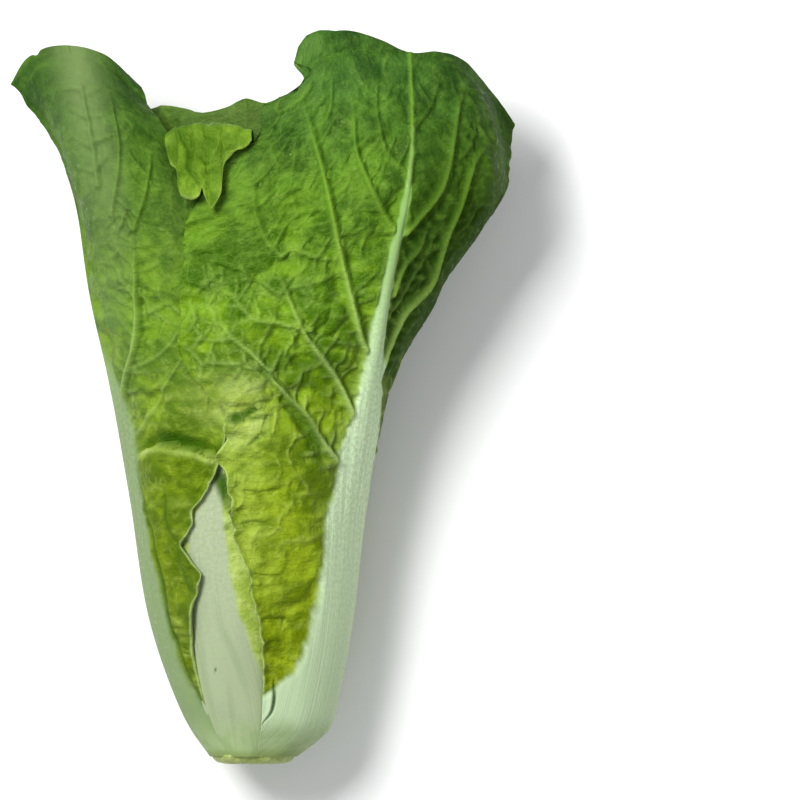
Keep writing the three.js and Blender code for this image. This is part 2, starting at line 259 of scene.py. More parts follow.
class Leaf:
    """One leaf's sheet: a grid of columns from the left edge to the right and rows from the foot
    to the tip, with each point's place, outward direction and flat position on the leaf."""

    def __init__(self, lines, columns, rows, focus=0.5, rib_shift=None, left_margin=None,
                 right_margin=None, tip_margin=None, tip_pull=None,
                 side_pull=None, ragged=None, foot_easing=0, seed=1, row_focus=(0.5, 0.5)):
        control = np.array([lines[name] for name in LINES_ACROSS], float)
        self.shape = (rows + 1, columns + 1)
        # focus is the share of the columns that the left half gets.
        spread = np.interp(np.linspace(0, 1, columns + 1), (0, focus, 1), (0, 0.5, 1))
        across = spread[None, :].repeat(rows + 1, 0)
        # row_focus gives the first share of the rows to that much of the length.
        climbed, row_share = row_focus
        upward = np.interp(np.linspace(0, 1, rows + 1), (0, row_share, 1), (0, climbed, 1))
        upward = upward[:, None].repeat(columns + 1, 1)
        self.control = control
        base = self.sheet(across, upward)
        width = np.linalg.norm(np.diff(base, axis=1), axis=2).sum(axis=1)[:, None]
        # A margin is how far the edge stands out from its line, by height along the head.
        height = base[:, :, 1]
        fine = 0
        if ragged:
            ends = height[:, :1]
            fine = profile(ragged, ends) * (
                waves(ends, ends * 0, 3.1, seed) + 0.6 * waves(ends, ends * 0, 1.4, seed + 1))
        left = profile(left_margin, height[:, :1]) + fine if left_margin else 0
        right = profile(right_margin, height[:, -1:]) + fine if right_margin else 0
        across = across + (across - 1) * (left / width) * np.clip(1 - 2 * across, 0, 1) \
            + across * (right / width) * np.clip(2 * across - 1, 0, 1)
        if tip_margin:
            last_span = np.linalg.norm(control[2, -1] - control[2, -2]) * (control.shape[1] - 1)
            lift = profile(tip_margin, across[-1:, :]) / last_span
            upward = upward + lift * smooth_step(0.8, 1.0, upward)
        self.across, self.upward = across, upward
        self.base = self.sheet(across, upward)
        # The quick bend at the foot is eased, so that no line shows across the petiole.
        for _ in range(foot_easing):
            between = (self.base[:-2] + 2 * self.base[1:-1] + self.base[2:]) / 4
            near_foot = smooth_step(32, 16, self.base[1:-1, :, 1:2])
            self.base[1:-1] += (between - self.base[1:-1]) * near_foot
        if tip_pull:
            place, aside, ahead = np.array(tip_pull).T
            near_tip = smooth_step(0.985, 1.0, upward)
            self.base[:, :, 0] += np.interp(across, place, aside) * near_tip
            self.base[:, :, 1] += np.interp(across, place, ahead) * near_tip
        if side_pull:
            place, aside = np.array(side_pull).T
            near_side = np.clip(1 - self.across / 0.25, 0, 1) ** 2
            self.base[:, :, 0] += np.interp(self.base[:, :1, 1], place, aside) * near_side
        self.normal = self.outward(self.base)
        apart = np.diff(self.base, axis=1)
        steps = np.hypot(apart[:, :, 0], apart[:, :, 2])
        run = np.concatenate([np.zeros((rows + 1, 1)), np.cumsum(steps, axis=1)], axis=1)
        middle = np.array([np.interp(0.5, across[row], run[row]) for row in range(rows + 1)])
        self.s = run - middle[:, None]
        if rib_shift:
            centre_height = self.base[:, columns // 2, 1:2]
            self.s = self.s - profile(rib_shift, centre_height)
        even = np.linspace(0, 1, rows + 1)
        midline = self.sheet(np.full((rows + 1, 1), 0.5), even[:, None])[:, 0]
        climb = np.linalg.norm(np.diff(midline, axis=0), axis=1)
        climb = np.concatenate([[0.0], np.cumsum(climb)])
        self.t = np.interp(self.upward, even, climb)
        self.left_reach = self.s - self.s[:, :1]
        self.right_reach = self.s[:, -1:] - self.s
        self.edge_reach = np.minimum(self.left_reach, self.right_reach)
        self.tip_reach = climb[-1] - self.t
        self.y = self.base[:, :, 1]

    def sheet(self, across, upward):
        shape = across.shape
        by_row = smooth_weights(self.control.shape[1], upward.ravel())
        by_line = smooth_weights(len(LINES_ACROSS), across.ravel())
        lines = np.einsum("nr,crk->nck", by_row, self.control)
        return np.einsum("nc,nck->nk", by_line, lines).reshape(*shape, 3)

    def outward(self, points):
        sideways = np.gradient(points, axis=1)
        lengthways = np.gradient(points, axis=0)
        normal = np.cross(sideways, lengthways)
        return normal / np.maximum(np.linalg.norm(normal, axis=2, keepdims=True), 1e-9)

    def flat(self, path, folded=False):
        """A path seen from the front, as (x, y) on the head, laid on the leaf's sheet."""
        facing = self.normal[:, :, 2] * (-1 if folded else 1) > 0.02
        x = np.where(facing, self.base[:, :, 0], 1e6)
        found = []
        for px, py in path:
            spot = np.argmin(np.hypot(x - px, self.y - py))
            found.append((self.s.ravel()[spot], self.t.ravel()[spot]))
        return smooth_path(found)


def side_veins(leaf, first, last, count, seed, rise=1.0):
    """Lateral veins that leave the midrib in turn on each side and bend towards the tip, each
    with two forks."""
    found = []
    for number in range(count):
        for side in (-1, 1):
            jitter = scatter(np.array(number), np.array(side + 3), seed)
            start = first + (last - first) * (number + 0.25 * side + 0.3 * jitter) / count
            row = int(np.clip(np.searchsorted(leaf.t[:, 0], start), 0, leaf.shape[0] - 1))
            reach = abs(leaf.s[row, -1 if side > 0 else 0]) * 0.94
            climb = rise * (0.55 + 0.4 * number / count) * reach
            q = np.linspace(0, 1, 9)
            path = np.stack([side * reach * q, start + climb * q ** 1.25], axis=1)
            path[:, 1] += 1.2 * np.sin(q * 7 + 9 * jitter) * q
            found.append((path, 0.9))
            for place, turn in ((0.38, 1.5), (0.62, -0.5)):
                root = path[int(place * 8)]
                length = reach * (1 - place) * 0.8
                fork = root + np.stack([
                    side * length * q * (0.6 if turn > 0 else 0.95),
                    climb * q * (0.35 + 0.35 * turn) * (1 - place),
                ], axis=1)
                found.append((fork, 0.45))
    return found


def cross_veins(veins, gap, seed):
    """Short veins that run out of the larger ones on both sides, about one gap apart."""
    found = []
    for number, (path, strength) in enumerate(veins):
        if strength < 0.4:
            continue
        steps = np.linalg.norm(np.diff(path, axis=0), axis=1)
        length = steps.sum()
        run = np.concatenate([[0.0], np.cumsum(steps)])
        for place in range(int(length / gap)):
            for side in (-1, 1):
                pick = [float(scatter(np.array(number * 31 + place), np.array(side + 5), seed + k))
                        for k in range(4)]
                at = (place + 0.3 + 0.7 * pick[0]) * gap
                root = np.array([np.interp(at, run, path[:, 0]), np.interp(at, run, path[:, 1])])
                ahead = np.array([np.interp(at + 1, run, path[:, 0]),
                                  np.interp(at + 1, run, path[:, 1])]) - root
                if np.linalg.norm(ahead) < 0.01:
                    continue
                heading = math.atan2(ahead[1], ahead[0]) + side * (0.9 + 0.6 * pick[1])
                bend = side * (0.5 * pick[2] - 0.45)
                reach = (5 + 6 * pick[3]) / 4
                points = [root]
                for step in range(4):
                    turn = heading + bend * step / 2
                    points.append(points[-1] + reach * np.array([math.cos(turn), math.sin(turn)]))
                found.append((smooth_path(points, 2), 0.28 + 0.14 * pick[2]))
    return found


def leaf_relief(leaf, veins, petiole, seed, crinkle=((0, 1), (200, 1)), quilt_size=7.0,
                calm_right=0.0, frill=None, frill_side=0, creases=(), lobes=(), rib_rise=1.0,
                crumple=0.0):
    """How far each point of the leaf stands out of its sheet, and the masks that colour it.
    petiole holds its half width to the left and to the right of the rib, by height."""
    s, t, y = leaf.s, leaf.t, leaf.y
    table = np.array(petiole, float)
    left_half = profile(table[:, (0, 1)], y)
    right_half = profile(table[:, (0, 2)], y)
    half_width = np.where(s < 0, left_half, right_half)
    streak = t - STREAK_SLOPE * np.abs(s)
    feather = 0.5 * waves(streak, s * 0.3, 3.6, seed) + 0.5 * waves(streak, s * 0.3, 9.0, seed + 1)
    border = half_width + feather * smooth_step(2.0, 7.0, half_width) - np.abs(s)
    soft = np.clip(0.24 * half_width, 0.3, 2.4)
    fleshy = smooth_step(-1, 1, border / soft) * smooth_step(190, 140, y)
    blade = 1 - fleshy

    # Veins stand out as round ridges, with the blade dipping beside them, most of all on the
    # side towards the foot. On that lee side the stronger veins also get a line of painted shade.
    vein = np.zeros(s.shape)
    raised = np.zeros(s.shape)
    sunk = np.zeros(s.shape)
    lee_shade = np.zeros(s.shape)
    strong = np.zeros(s.shape)
    for path, strength in veins:
        reach, share, _, lee = path_distance(s, t, path)
        half = (1.05 - 0.5 * share) * (0.4 + 0.6 * strength)
        ridge = np.exp(-(reach / half) ** 2)
        dip = np.exp(-((reach - 2.6 * half) / (1.8 * half)) ** 2)
        fade = smooth_step(1.0, 0.7, share)
        height = (VEIN_HEIGHT - 0.7 * share) * strength
        raised = np.maximum(raised, height * ridge * fade)
        sunk = sunk + (0.15 + 0.45 * lee) * height * dip * (1 - ridge) * fade
        beside = np.exp(-((reach - 1.7 * half) / (0.6 * half)) ** 2)
        beside = beside * (0.2 + 0.8 * lee) * smooth_step(0.25, 0.7, strength)
        lee_shade = np.maximum(lee_shade, beside * fade)
        vein = np.maximum(vein, ridge * strength ** 1.2 * (1 - 0.35 * share) * fade)
        if strength >= 0.5:
            strong = np.maximum(strong, np.exp(-(reach / (1.6 * half)) ** 2) * fade)
    raised = raised - sunk * (1 - strong)
    rib_half = np.clip(half_width, 0.6, 6.0)
    rib = np.exp(-(s / rib_half) ** 2)
    rib_height = rib_rise * profile(((0, 0), (70, 0.2), (90, 0.9), (115, 1.7), (150, 1.1),
                                     (195, 0.6)), y)

    # The quilting: a net of fine ridges with the blade sunk between them, and here and there a
    # pillow that bulges instead. The cells are warped so that none is regular.
    crisp = profile(crinkle, y) * (
        1 - calm_right * smooth_step(0, 6, s) * smooth_step(50, 85, y))
    warp_s = s + 2.4 * waves(s, t, 8.5, seed + 2) + 0.35 * waves(s, t, 3.0, seed + 21)
    warp_t = t + 2.4 * waves(s, t, 8.5, seed + 3) + 0.35 * waves(s, t, 3.0, seed + 22)
    pillow, own = quilt(warp_s * 0.88, warp_t * 1.06, quilt_size, seed + 4)
    small, own_small = quilt(warp_s * 0.9, warp_t * 1.1, quilt_size * 0.42, seed + 5)
    net = np.exp(-(pillow / 0.12) ** 2)
    dome = 1 - (1 - pillow) ** 1.8
    small_dome = 1 - (1 - small) ** 1.8
    low = smooth_step(112, 88, y)
    net = net * (1 - low)
    wrinkle = 1 - np.abs(waves(s * 0.32 + 0.5 * waves(s, t, 5.0, seed + 23), t, 3.0, seed + 9))
    wrinkle_patch = np.clip(0.35 + 1.2 * waves(s, t, 9.0, seed + 25), 0, 1)
    swell = SWELL_LONG * waves(s, t, 22.0, seed + 6) + 1.0 * waves(s, t * 1.3, 11.0, seed + 8)
    lift = blade * crisp * (
        -PILLOW_DEPTH * (1 - 0.6 * low) * dome * (own - 0.36)
        - SMALL_DEPTH * small_dome * (own_small - 0.15)
        + 0.3 * low * wrinkle_patch * wrinkle ** 5
    ) * (1 - 0.8 * strong) + blade * swell * np.clip(crisp, 0.4, 1)
    # Where the blade is crumpled, sharp crests wander over it in patches.
    broad_patch = np.clip(0.5 + 0.9 * waves(s, t, 6.0, seed + 34), 0, 1)
    fine_patch = np.clip(0.4 + 1.1 * waves(s, t, 4.0, seed + 35), 0, 1)
    crest = np.maximum(broad_patch * crinkles(s, t, 4.2, seed + 31),
                       0.7 * fine_patch * crinkles(s, t, 2.5, seed + 41))
    crest = crest * (1 - strong)
    lift = lift + CREST_HEIGHT * blade * crumple * crest
    crest_highlight_share = crumple
    # The margin rolls in long waves, and where it is frilled it crumples as well.
    near_edge = np.exp(-leaf.edge_reach / 9.0) + 0.8 * np.exp(-leaf.tip_reach / 7.0)
    near_edge = np.clip(near_edge, 0, 1) * smooth_step(20, 60, t)
    round_run = np.where(leaf.left_reach < leaf.right_reach, t, t + 31.0)
    round_run = round_run + s * np.exp(-leaf.tip_reach / 12.0)
    lift = lift + 0.8 * near_edge * blade * waves(round_run, t * 0 + 3.5, 9.0, seed + 10)
    if frill:
        from_edge = leaf.left_reach if frill_side < 0 else leaf.right_reach
        amount = profile(frill, y) * np.exp(-from_edge / 4.5) * blade
        ripple = np.sin(t / 1.15 + 3.0 * waves(t, s * 0.3, 5.0, seed + 11))
        lift = lift + amount * (0.9 * ripple + 0.5 * waves(s, t, 1.5, seed + 12))
        # On a frilled leaf the painted highlights on the crests come and go with the ripple.
        crest_highlight_share = ripple
        curl = np.exp(-(from_edge / 1.1) ** 2)
        lift = lift + 0.7 * profile(frill, y) * curl * blade

    shown_margin = {-1: leaf.left_reach, 0: leaf.edge_reach, 1: leaf.right_reach}[frill_side]
    striae = waves(s, t * 0.03, 1.7, seed + 13) + 0.5 * waves(s, t * 0.04, 0.9, seed + 14)
    striped = smooth_step(2, 6, half_width)
    lift = lift + fleshy * STRIPE_HEIGHT * striae * striped * smooth_step(10, 22, y)
    lift = lift + raised * blade + rib * rib_height

    for lobe in lobes:
        path = leaf.flat(lobe["path"])
        reach, share, side, _ = path_distance(s, t, path)
        ends = smooth_step(0.0, 0.12, share) * smooth_step(1.0, 0.88, share)
        swollen = side * lobe["side"] > 0
        bulge = np.exp(-(reach / lobe["reach"]) ** 2) * swollen
        dip = np.exp(-(reach / lobe["dip_reach"]) ** 2) * ~swollen
        lift = lift + ends * blade * (lobe["rise"] * bulge - lobe["dip"] * dip)

    # Painted shade: dark lines on the lee side of the veins, then a dark slit along each crease.
    shade = 0.7 * lee_shade * (1 - vein) * (1 - 0.6 * strong) * blade
    for crease in creases:
        path = leaf.flat(crease["path"], crease.get("folded", False))
        reach, share, side, _ = path_distance(s, t, path)
        fade = np.sin(np.pi * np.clip(share, 0.03, 0.97)) ** 0.6
        half = crease["width"] * (0.4 + 0.6 * fade)
        slit = np.exp(-(reach / half) ** 4) * fade
        lip_reach = (reach - 2.2 * half) / (1.3 * half)
        lip = np.exp(-lip_reach ** 2) * (side * crease.get("lip_side", 1) > 0) * fade
        lift = lift - crease["depth"] * slit + crease.get("lip", 0.0) * lip
        shade = np.maximum(shade, slit * crease.get("shade", 0.6))
    tone = 0.5 + 0.45 * (own - 0.5) * dome + 0.3 * (own_small - 0.5) * small_dome
    tone = tone + 0.1 * waves(s, t, 2.4, seed + 15) + 0.25 * waves(s, t, 14.0, seed + 16)
    return {
        "lift": lift,
        "petiole": fleshy,
        "vein": np.clip(vein * blade, 0, 1),
        "rib": rib * smooth_step(60, 100, t),
        "net": net * blade,
        "tone": np.clip(tone, 0, 1),
        "shade": shade,
        # The crest mask carries the painted highlights on the crest tops.
        "crest": crest * blade * np.abs(crest_highlight_share) * (0.6 + 0.4 * smooth_step(116, 104, y)),
        "margin": np.exp(-(shown_margin / 0.45) ** 2) * blade * smooth_step(99, 90, y),
    }


def close_leaf(name, leaf, relief, thickness, slim=0.5, stride=4):
    """Makes the leaf one closed mesh: its outer face, an inner face with one point for each
    stride of them, and the rim between the two."""
    rows, columns = leaf.shape
    outer = leaf.base + leaf.normal * relief["lift"][:, :, None]
    rib_thick = profile(thickness, leaf.y)
    half = np.abs(2 * leaf.across - 1)
    share = np.clip(0.95 - leaf.upward * 1.15, 0.12, 0.6)
    depth = slim + (rib_thick - slim) * np.exp(-(half / share) ** 2)
    inner = (outer - leaf.normal * depth[:, :, None])[::stride, ::stride]
    points = np.concatenate([outer.reshape(-1, 3), inner.reshape(-1, 3)]) * MM + HEAD_PLACE

    index = np.arange(rows * columns).reshape(rows, columns)
    back_rows, back_columns = inner.shape[:2]
    back = rows * columns + np.arange(back_rows * back_columns).reshape(back_rows, back_columns)
    front_faces = np.stack([index[:-1, :-1], index[:-1, 1:], index[1:, 1:], index[1:, :-1]], -1)
    back_faces = np.stack([back[1:, :-1], back[1:, 1:], back[:-1, 1:], back[:-1, :-1]], -1)
    faces = front_faces.reshape(-1, 4).tolist() + back_faces.reshape(-1, 4).tolist()
    rims = (
        (index[0], back[0]),
        (index[:, -1], back[:, -1]),
        (index[-1, ::-1], back[-1, ::-1]),
        (index[::-1, 0], back[::-1, 0]),
    )
    for fine, coarse in rims:
        for step in range(len(coarse) - 1):
            for part in range(stride):
                here, there = fine[stride * step + part], fine[stride * step + part + 1]
                if part == stride // 2:
                    faces.append((here, coarse[step], coarse[step + 1]))
                end = coarse[step] if part < stride // 2 else coarse[step + 1]
                faces.append((there, here, end))
    mesh = bpy.data.meshes.new(name)
    mesh.from_pydata(points.tolist(), [], faces)
    mesh.polygons.foreach_set("use_smooth", [True] * len(mesh.polygons))

    def write(label, values, kind="FLOAT", field="value"):
        size = values.shape[2:]
        inner_values = values[::stride, ::stride]
        both = np.concatenate([values.reshape(-1, *size), inner_values.reshape(-1, *size)])
        layer = mesh.attributes.new(label, kind, "POINT")
        layer.data.foreach_set(field, both.astype(np.float32).ravel())

    def write_place(label, first, second):
        place = np.stack([first, second, np.zeros(leaf.shape)], axis=2)
        write(label, place, "FLOAT_VECTOR", "vector")

    for label in ("petiole", "vein", "rib", "net", "tone", "shade", "margin", "painted_sheen",
                  "young", "pale", "deep", "crest"):
        write(label, relief.get(label, np.zeros(leaf.shape)))
    write("height", leaf.y / HEAD_LENGTH)
    write_place("laid_flat", leaf.s, leaf.t)
    reach = np.abs(leaf.s)
    write_place("along_veins", leaf.t - STREAK_SLOPE * reach, 0.12 * reach)
    mesh.update()
    piece = bpy.data.objects.new(name, mesh)
    bpy.context.scene.collection.objects.link(piece)
    return piece


class Shader:
    """Short words for wiring a material's nodes."""

    def __init__(self, name):
        self.material = bpy.data.materials.new(name)
        self.material.use_nodes = True
        self.tree = self.material.node_tree
        self.surface = self.tree.nodes["Principled BSDF"]

    def node(self, kind, **settings):
        made = self.tree.nodes.new(kind)
        for key, value in settings.items():
            setattr(made, key, value)
        return made

    def feed(self, socket, value):
        if isinstance(value, bpy.types.NodeSocket):
            self.tree.links.new(value, socket)
        elif isinstance(value, tuple) and len(value) == 3 and socket.type == "RGBA":
            socket.default_value = (*value, 1.0)
        else:
            socket.default_value = value

    def attribute(self, name, vector=False):
        made = self.node("ShaderNodeAttribute", attribute_name=name)
        return made.outputs["Vector" if vector else "Fac"]

    def stretch(self, vector, scale):
        made = self.node("ShaderNodeMapping")
        self.feed(made.inputs["Vector"], vector)
        made.inputs["Scale"].default_value = scale
        return made.outputs["Vector"]

    def noise(self, vector, scale, detail=3.0, roughness=0.55):
        made = self.node("ShaderNodeTexNoise")
        self.feed(made.inputs["Vector"], vector)
        made.inputs["Scale"].default_value = scale
        made.inputs["Detail"].default_value = detail
        made.inputs["Roughness"].default_value = roughness
        return made.outputs["Fac"]

    def cell_border(self, vector, scale):
        made = self.node("ShaderNodeTexVoronoi", feature="DISTANCE_TO_EDGE")
        self.feed(made.inputs["Vector"], vector)
        made.inputs["Scale"].default_value = scale
        return made.outputs["Distance"]

    def math(self, operation, a, b=0.0):
        made = self.node("ShaderNodeMath", operation=operation)
        self.feed(made.inputs[0], a)
        self.feed(made.inputs[1], b)
        return made.outputs[0]

    def times(self, a, b):
        return self.math("MULTIPLY", a, b)

    def plus(self, a, b):
        return self.math("ADD", a, b)

    def less(self, a, b):
        return self.math("SUBTRACT", a, b)

    def part(self, name, amount):
        """A mask of the mesh, weakened to an amount."""
        return self.times(self.attribute(name), amount)

    def span(self, value, low, high, to_low=0.0, to_high=1.0):
        made = self.node("ShaderNodeMapRange", interpolation_type="SMOOTHSTEP")
        self.feed(made.inputs["Value"], value)
        made.inputs["From Min"].default_value = low
        made.inputs["From Max"].default_value = high
        made.inputs["To Min"].default_value = to_low
        made.inputs["To Max"].default_value = to_high
        return made.outputs["Result"]

    def mix(self, factor, a, b, blend="MIX"):
        made = self.node("ShaderNodeMix", data_type="RGBA", blend_type=blend)
        self.feed(made.inputs["Factor"], factor)
        self.feed(made.inputs["A"], a)
        self.feed(made.inputs["B"], b)
        return made.outputs["Result"]

    def ramp(self, factor, stops):
        made = self.node("ShaderNodeValToRGB")
        band = made.color_ramp
        while len(band.elements) < len(stops):
            band.elements.new(0.5)
        for element, (place, colour) in zip(band.elements, stops):
            element.position = place
            element.color = (*colour, 1.0)
        self.feed(made.inputs["Fac"], factor)
        return made.outputs["Color"]

    def bump(self, height, distance, strength=1.0, under=None):
        made = self.node("ShaderNodeBump")
        made.inputs["Distance"].default_value = distance
        made.inputs["Strength"].default_value = strength
        self.feed(made.inputs["Height"], height)
        if under is not None:
            self.feed(made.inputs["Normal"], under)
        return made.outputs["Normal"]


YOUNG_DARK = (0.055, 0.13, 0.003)
YOUNG_LIGHT = (0.145, 0.26, 0.014)
PAINTED_SHADE_GREEN = (0.016, 0.055, 0.002)
PALE_DARK = (0.27, 0.37, 0.05)
PALE_LIGHT = (0.42, 0.52, 0.15)
LOW_CREST_HIGHLIGHT = (0.40, 0.52, 0.08)
HIGH_CREST_HIGHLIGHT = (0.22, 0.40, 0.05)
SHEEN_HAZE = (0.145, 0.22, 0.075)
HIGH_FLESH = (0.22, 0.38, 0.11)
FOOT_DARK = (0.26, 0.355, 0.165)
FOOT_LIGHT = (0.33, 0.425, 0.215)
FOOT_STAIN = (0.20, 0.31, 0.10)
END_OLIVE_LINE = (0.17, 0.235, 0.05)
CREASE_SHADE_GREEN = (0.035, 0.10, 0.003)
MOTTLE_SHARE = 0.78
DULL = 0.52
WAXY = 0.17
PORE_DEPTH = 0.0003
CRIMP_DEPTH = 0.0007
STRIPE_DEPTH = 0.0005


def leaf_skin(name, flesh, flesh_edge, low_flesh=1.0):
    """A fresh leaf: waxy green blade with a paler net of veins, running into pale striped flesh."""
    skin = Shader(name)
    laid = skin.attribute("laid_flat", vector=True)
    height = skin.attribute("height")
    petiole = skin.attribute("petiole")
    broad = skin.noise(laid, 0.045, 2.0)
    patch = skin.noise(laid, 0.16, 4.0, 0.6)
    speck = skin.noise(laid, 1.4, 3.0)
    place = skin.plus(height, skin.times(skin.less(broad, 0.5), 0.16))
    light = skin.ramp(place, BLADE_LIGHT)
    dark = skin.ramp(place, BLADE_DARK)
    blend = skin.plus(skin.attribute("tone"), skin.less(patch, 0.5))
    blend = skin.plus(blend, skin.times(skin.less(speck, 0.5), 0.25))
    blade = skin.mix(skin.span(blend, 0.27, 0.78), dark, light)
    vein_colour = skin.ramp(height, VEIN_COLOURS)
    blade = skin.mix(skin.part("net", 0.14), blade, vein_colour)
    # The finest veins are a net of hair lines, clearest towards the tip.
    wander = skin.node("ShaderNodeTexNoise")
    skin.feed(wander.inputs["Vector"], laid)
    wander.inputs["Scale"].default_value = 0.3
    bent = skin.mix(1.0, laid, wander.outputs["Color"], "LINEAR_LIGHT")
    hair_lines = skin.span(skin.cell_border(bent, 0.42), 0.0, 0.08, 1.0, 0.0)
    clear = skin.span(height, 0.52, 0.70, 0.0, 0.15)
    blade = skin.mix(skin.times(hair_lines, clear), blade, vein_colour)
    blade = skin.mix(skin.attribute("young"), blade,
                     skin.mix(skin.span(blend, 0.2, 0.9), YOUNG_DARK, YOUNG_LIGHT))
    # Painted shade: a deep green laid on the blade where light would not reach.
    blade = skin.mix(skin.attribute("deep"), blade, PAINTED_SHADE_GREEN)
    blade = skin.mix(skin.attribute("pale"), blade,
                     skin.mix(skin.span(patch, 0.35, 0.65), PALE_DARK, PALE_LIGHT))
    # Painted highlight: crest tops take a pale lime where glints would catch the light.
    crest_highlight_colour = skin.mix(skin.span(height, 0.5, 0.6), LOW_CREST_HIGHLIGHT, HIGH_CREST_HIGHLIGHT)
    blade = skin.mix(skin.part("crest", 0.5), blade, crest_highlight_colour)
    # Inside the painted shade the veins' pale colour is weakened too.
    in_shade = skin.less(0.9, skin.part("deep", 0.35))
    blade = skin.mix(skin.times(skin.attribute("vein"), in_shade), blade, vein_colour)
    blade = skin.mix(skin.part("rib", 0.9), blade, vein_colour)
    # Painted sheen: a pale grey-green haze where light glances off the leaf.
    blade = skin.mix(skin.attribute("painted_sheen"), blade, SHEEN_HAZE)
    blade = skin.mix(skin.part("margin", 0.5), blade, vein_colour)
    # The flesh is striped along its fibres and finely mottled.
    stripe = skin.noise(skin.stretch(laid, (0.8, 0.02, 1.0)), 1.0, 5.0, 0.65)
    fleshy = skin.mix(skin.span(stripe, 0.34, 0.62), flesh_edge, flesh)
    mottle = skin.noise(laid, 0.9, 4.0, 0.7)
    fleshy = skin.mix(skin.span(mottle, 0.37, 0.62, 0.65, 0.0), fleshy,
                      tuple(MOTTLE_SHARE * part for part in flesh_edge))
    fleshy = skin.mix(skin.span(height, 0.42, 0.06), fleshy,
                      tuple(low_flesh * part for part in flesh_edge))
    fleshy = skin.mix(skin.span(height, 0.43, 0.76), fleshy, HIGH_FLESH)
    foot_share = skin.span(height, 0.075, 0.02)
    fleshy = skin.mix(foot_share, fleshy,
                      skin.mix(skin.span(stripe, 0.15, 0.75), FOOT_DARK, FOOT_LIGHT))
    stain = skin.times(skin.span(patch, 0.42, 0.62), skin.span(height, 0.085, 0.03))
    fleshy = skin.mix(skin.times(stain, 0.4), fleshy, FOOT_STAIN)
    # The very end is a thin darker olive line.
    fleshy = skin.mix(skin.times(skin.span(height, 0.024, 0.012), 0.65), fleshy, END_OLIVE_LINE)
    # The border between flesh and blade runs out in pale streaks along the side veins.
    streaks = skin.noise(skin.attribute("along_veins", vector=True), 0.3, 2.5, 0.5)
    fringe = skin.times(skin.less(streaks, 0.5), 0.75)
    border = skin.times(petiole, skin.less(1.0, petiole))
    fringe = skin.times(fringe, skin.math("MINIMUM", skin.times(border, 8.0), 1.0))
    flesh_share = skin.span(skin.plus(petiole, fringe), 0.1, 0.95)
    colour = skin.mix(flesh_share, blade, fleshy)
    # Painted shade: creases and the lee sides of veins are laid over in a dark green.
    colour = skin.mix(skin.attribute("shade"), colour, CREASE_SHADE_GREEN)
    skin.feed(skin.surface.inputs["Base Color"], colour)
    # The wax shines in patches, least in the painted sheen and in the painted shade.
    glossy = skin.noise(laid, 0.55, 3.0, 0.6)
    rough = skin.span(glossy, 0.55, 0.66, DULL, WAXY)
    rough = skin.plus(rough, skin.part("painted_sheen", 0.2))
    rough = skin.plus(rough, skin.part("deep", 0.3))
    skin.feed(skin.surface.inputs["Roughness"], rough)
    skin.surface.inputs["Specular IOR Level"].default_value = 0.17
    skin.surface.inputs["Specular Tint"].default_value = (1.0, 1.0, 0.4, 1.0)
    skin.surface.inputs["Subsurface Weight"].default_value = 0.08
    skin.surface.inputs["Subsurface Radius"].default_value = (0.6, 1.0, 0.15)
    skin.surface.inputs["Subsurface Scale"].default_value = 0.001
    # The blade is finely pored and crimped, the flesh only ribbed along its stripes.
    soft = skin.less(1.0, petiole)
    soft = skin.times(soft, skin.less(1.0, skin.part("painted_sheen", 0.8)))
    pores = skin.noise(laid, 1.1, 3.0, 0.6)
    pores = skin.plus(pores, skin.times(skin.times(hair_lines, clear), 0.8))
    first = skin.bump(skin.times(pores, soft), PORE_DEPTH, 0.8)
    crimp = skin.noise(skin.stretch(laid, (0.8, 1.25, 1.0)), 0.5, 3.0, 0.55)
    second = skin.bump(skin.times(crimp, soft), CRIMP_DEPTH, 0.85, first)
    third = skin.bump(skin.times(stripe, petiole), STRIPE_DEPTH, 0.6, second)
    skin.feed(skin.surface.inputs["Normal"], third)
    return skin.material


BLADE_LIGHT = (
    (0.10, (0.25, 0.335, 0.008)),
    (0.40, (0.21, 0.31, 0.008)),
    (0.62, (0.140, 0.275, 0.007)),
    (0.92, (0.044, 0.130, 0.017)),
)
BLADE_DARK = (
    (0.10, (0.125, 0.18, 0.0)),
    (0.40, (0.082, 0.148, 0.0)),
    (0.62, (0.040, 0.118, 0.0)),
    (0.92, (0.014, 0.058, 0.007)),
)
VEIN_COLOURS = (
    (0.40, (0.43, 0.57, 0.21)),
    (0.62, (0.31, 0.47, 0.10)),
    (0.75, (0.18, 0.34, 0.03)),
    (0.95, (0.10, 0.24, 0.02)),
)
OUTER_FLESH = (0.68, 0.86, 0.54)
OUTER_FLESH_EDGE = (0.52, 0.67, 0.41)
outer_skin = leaf_skin("outer_leaf_skin", OUTER_FLESH, OUTER_FLESH_EDGE, low_flesh=0.86)

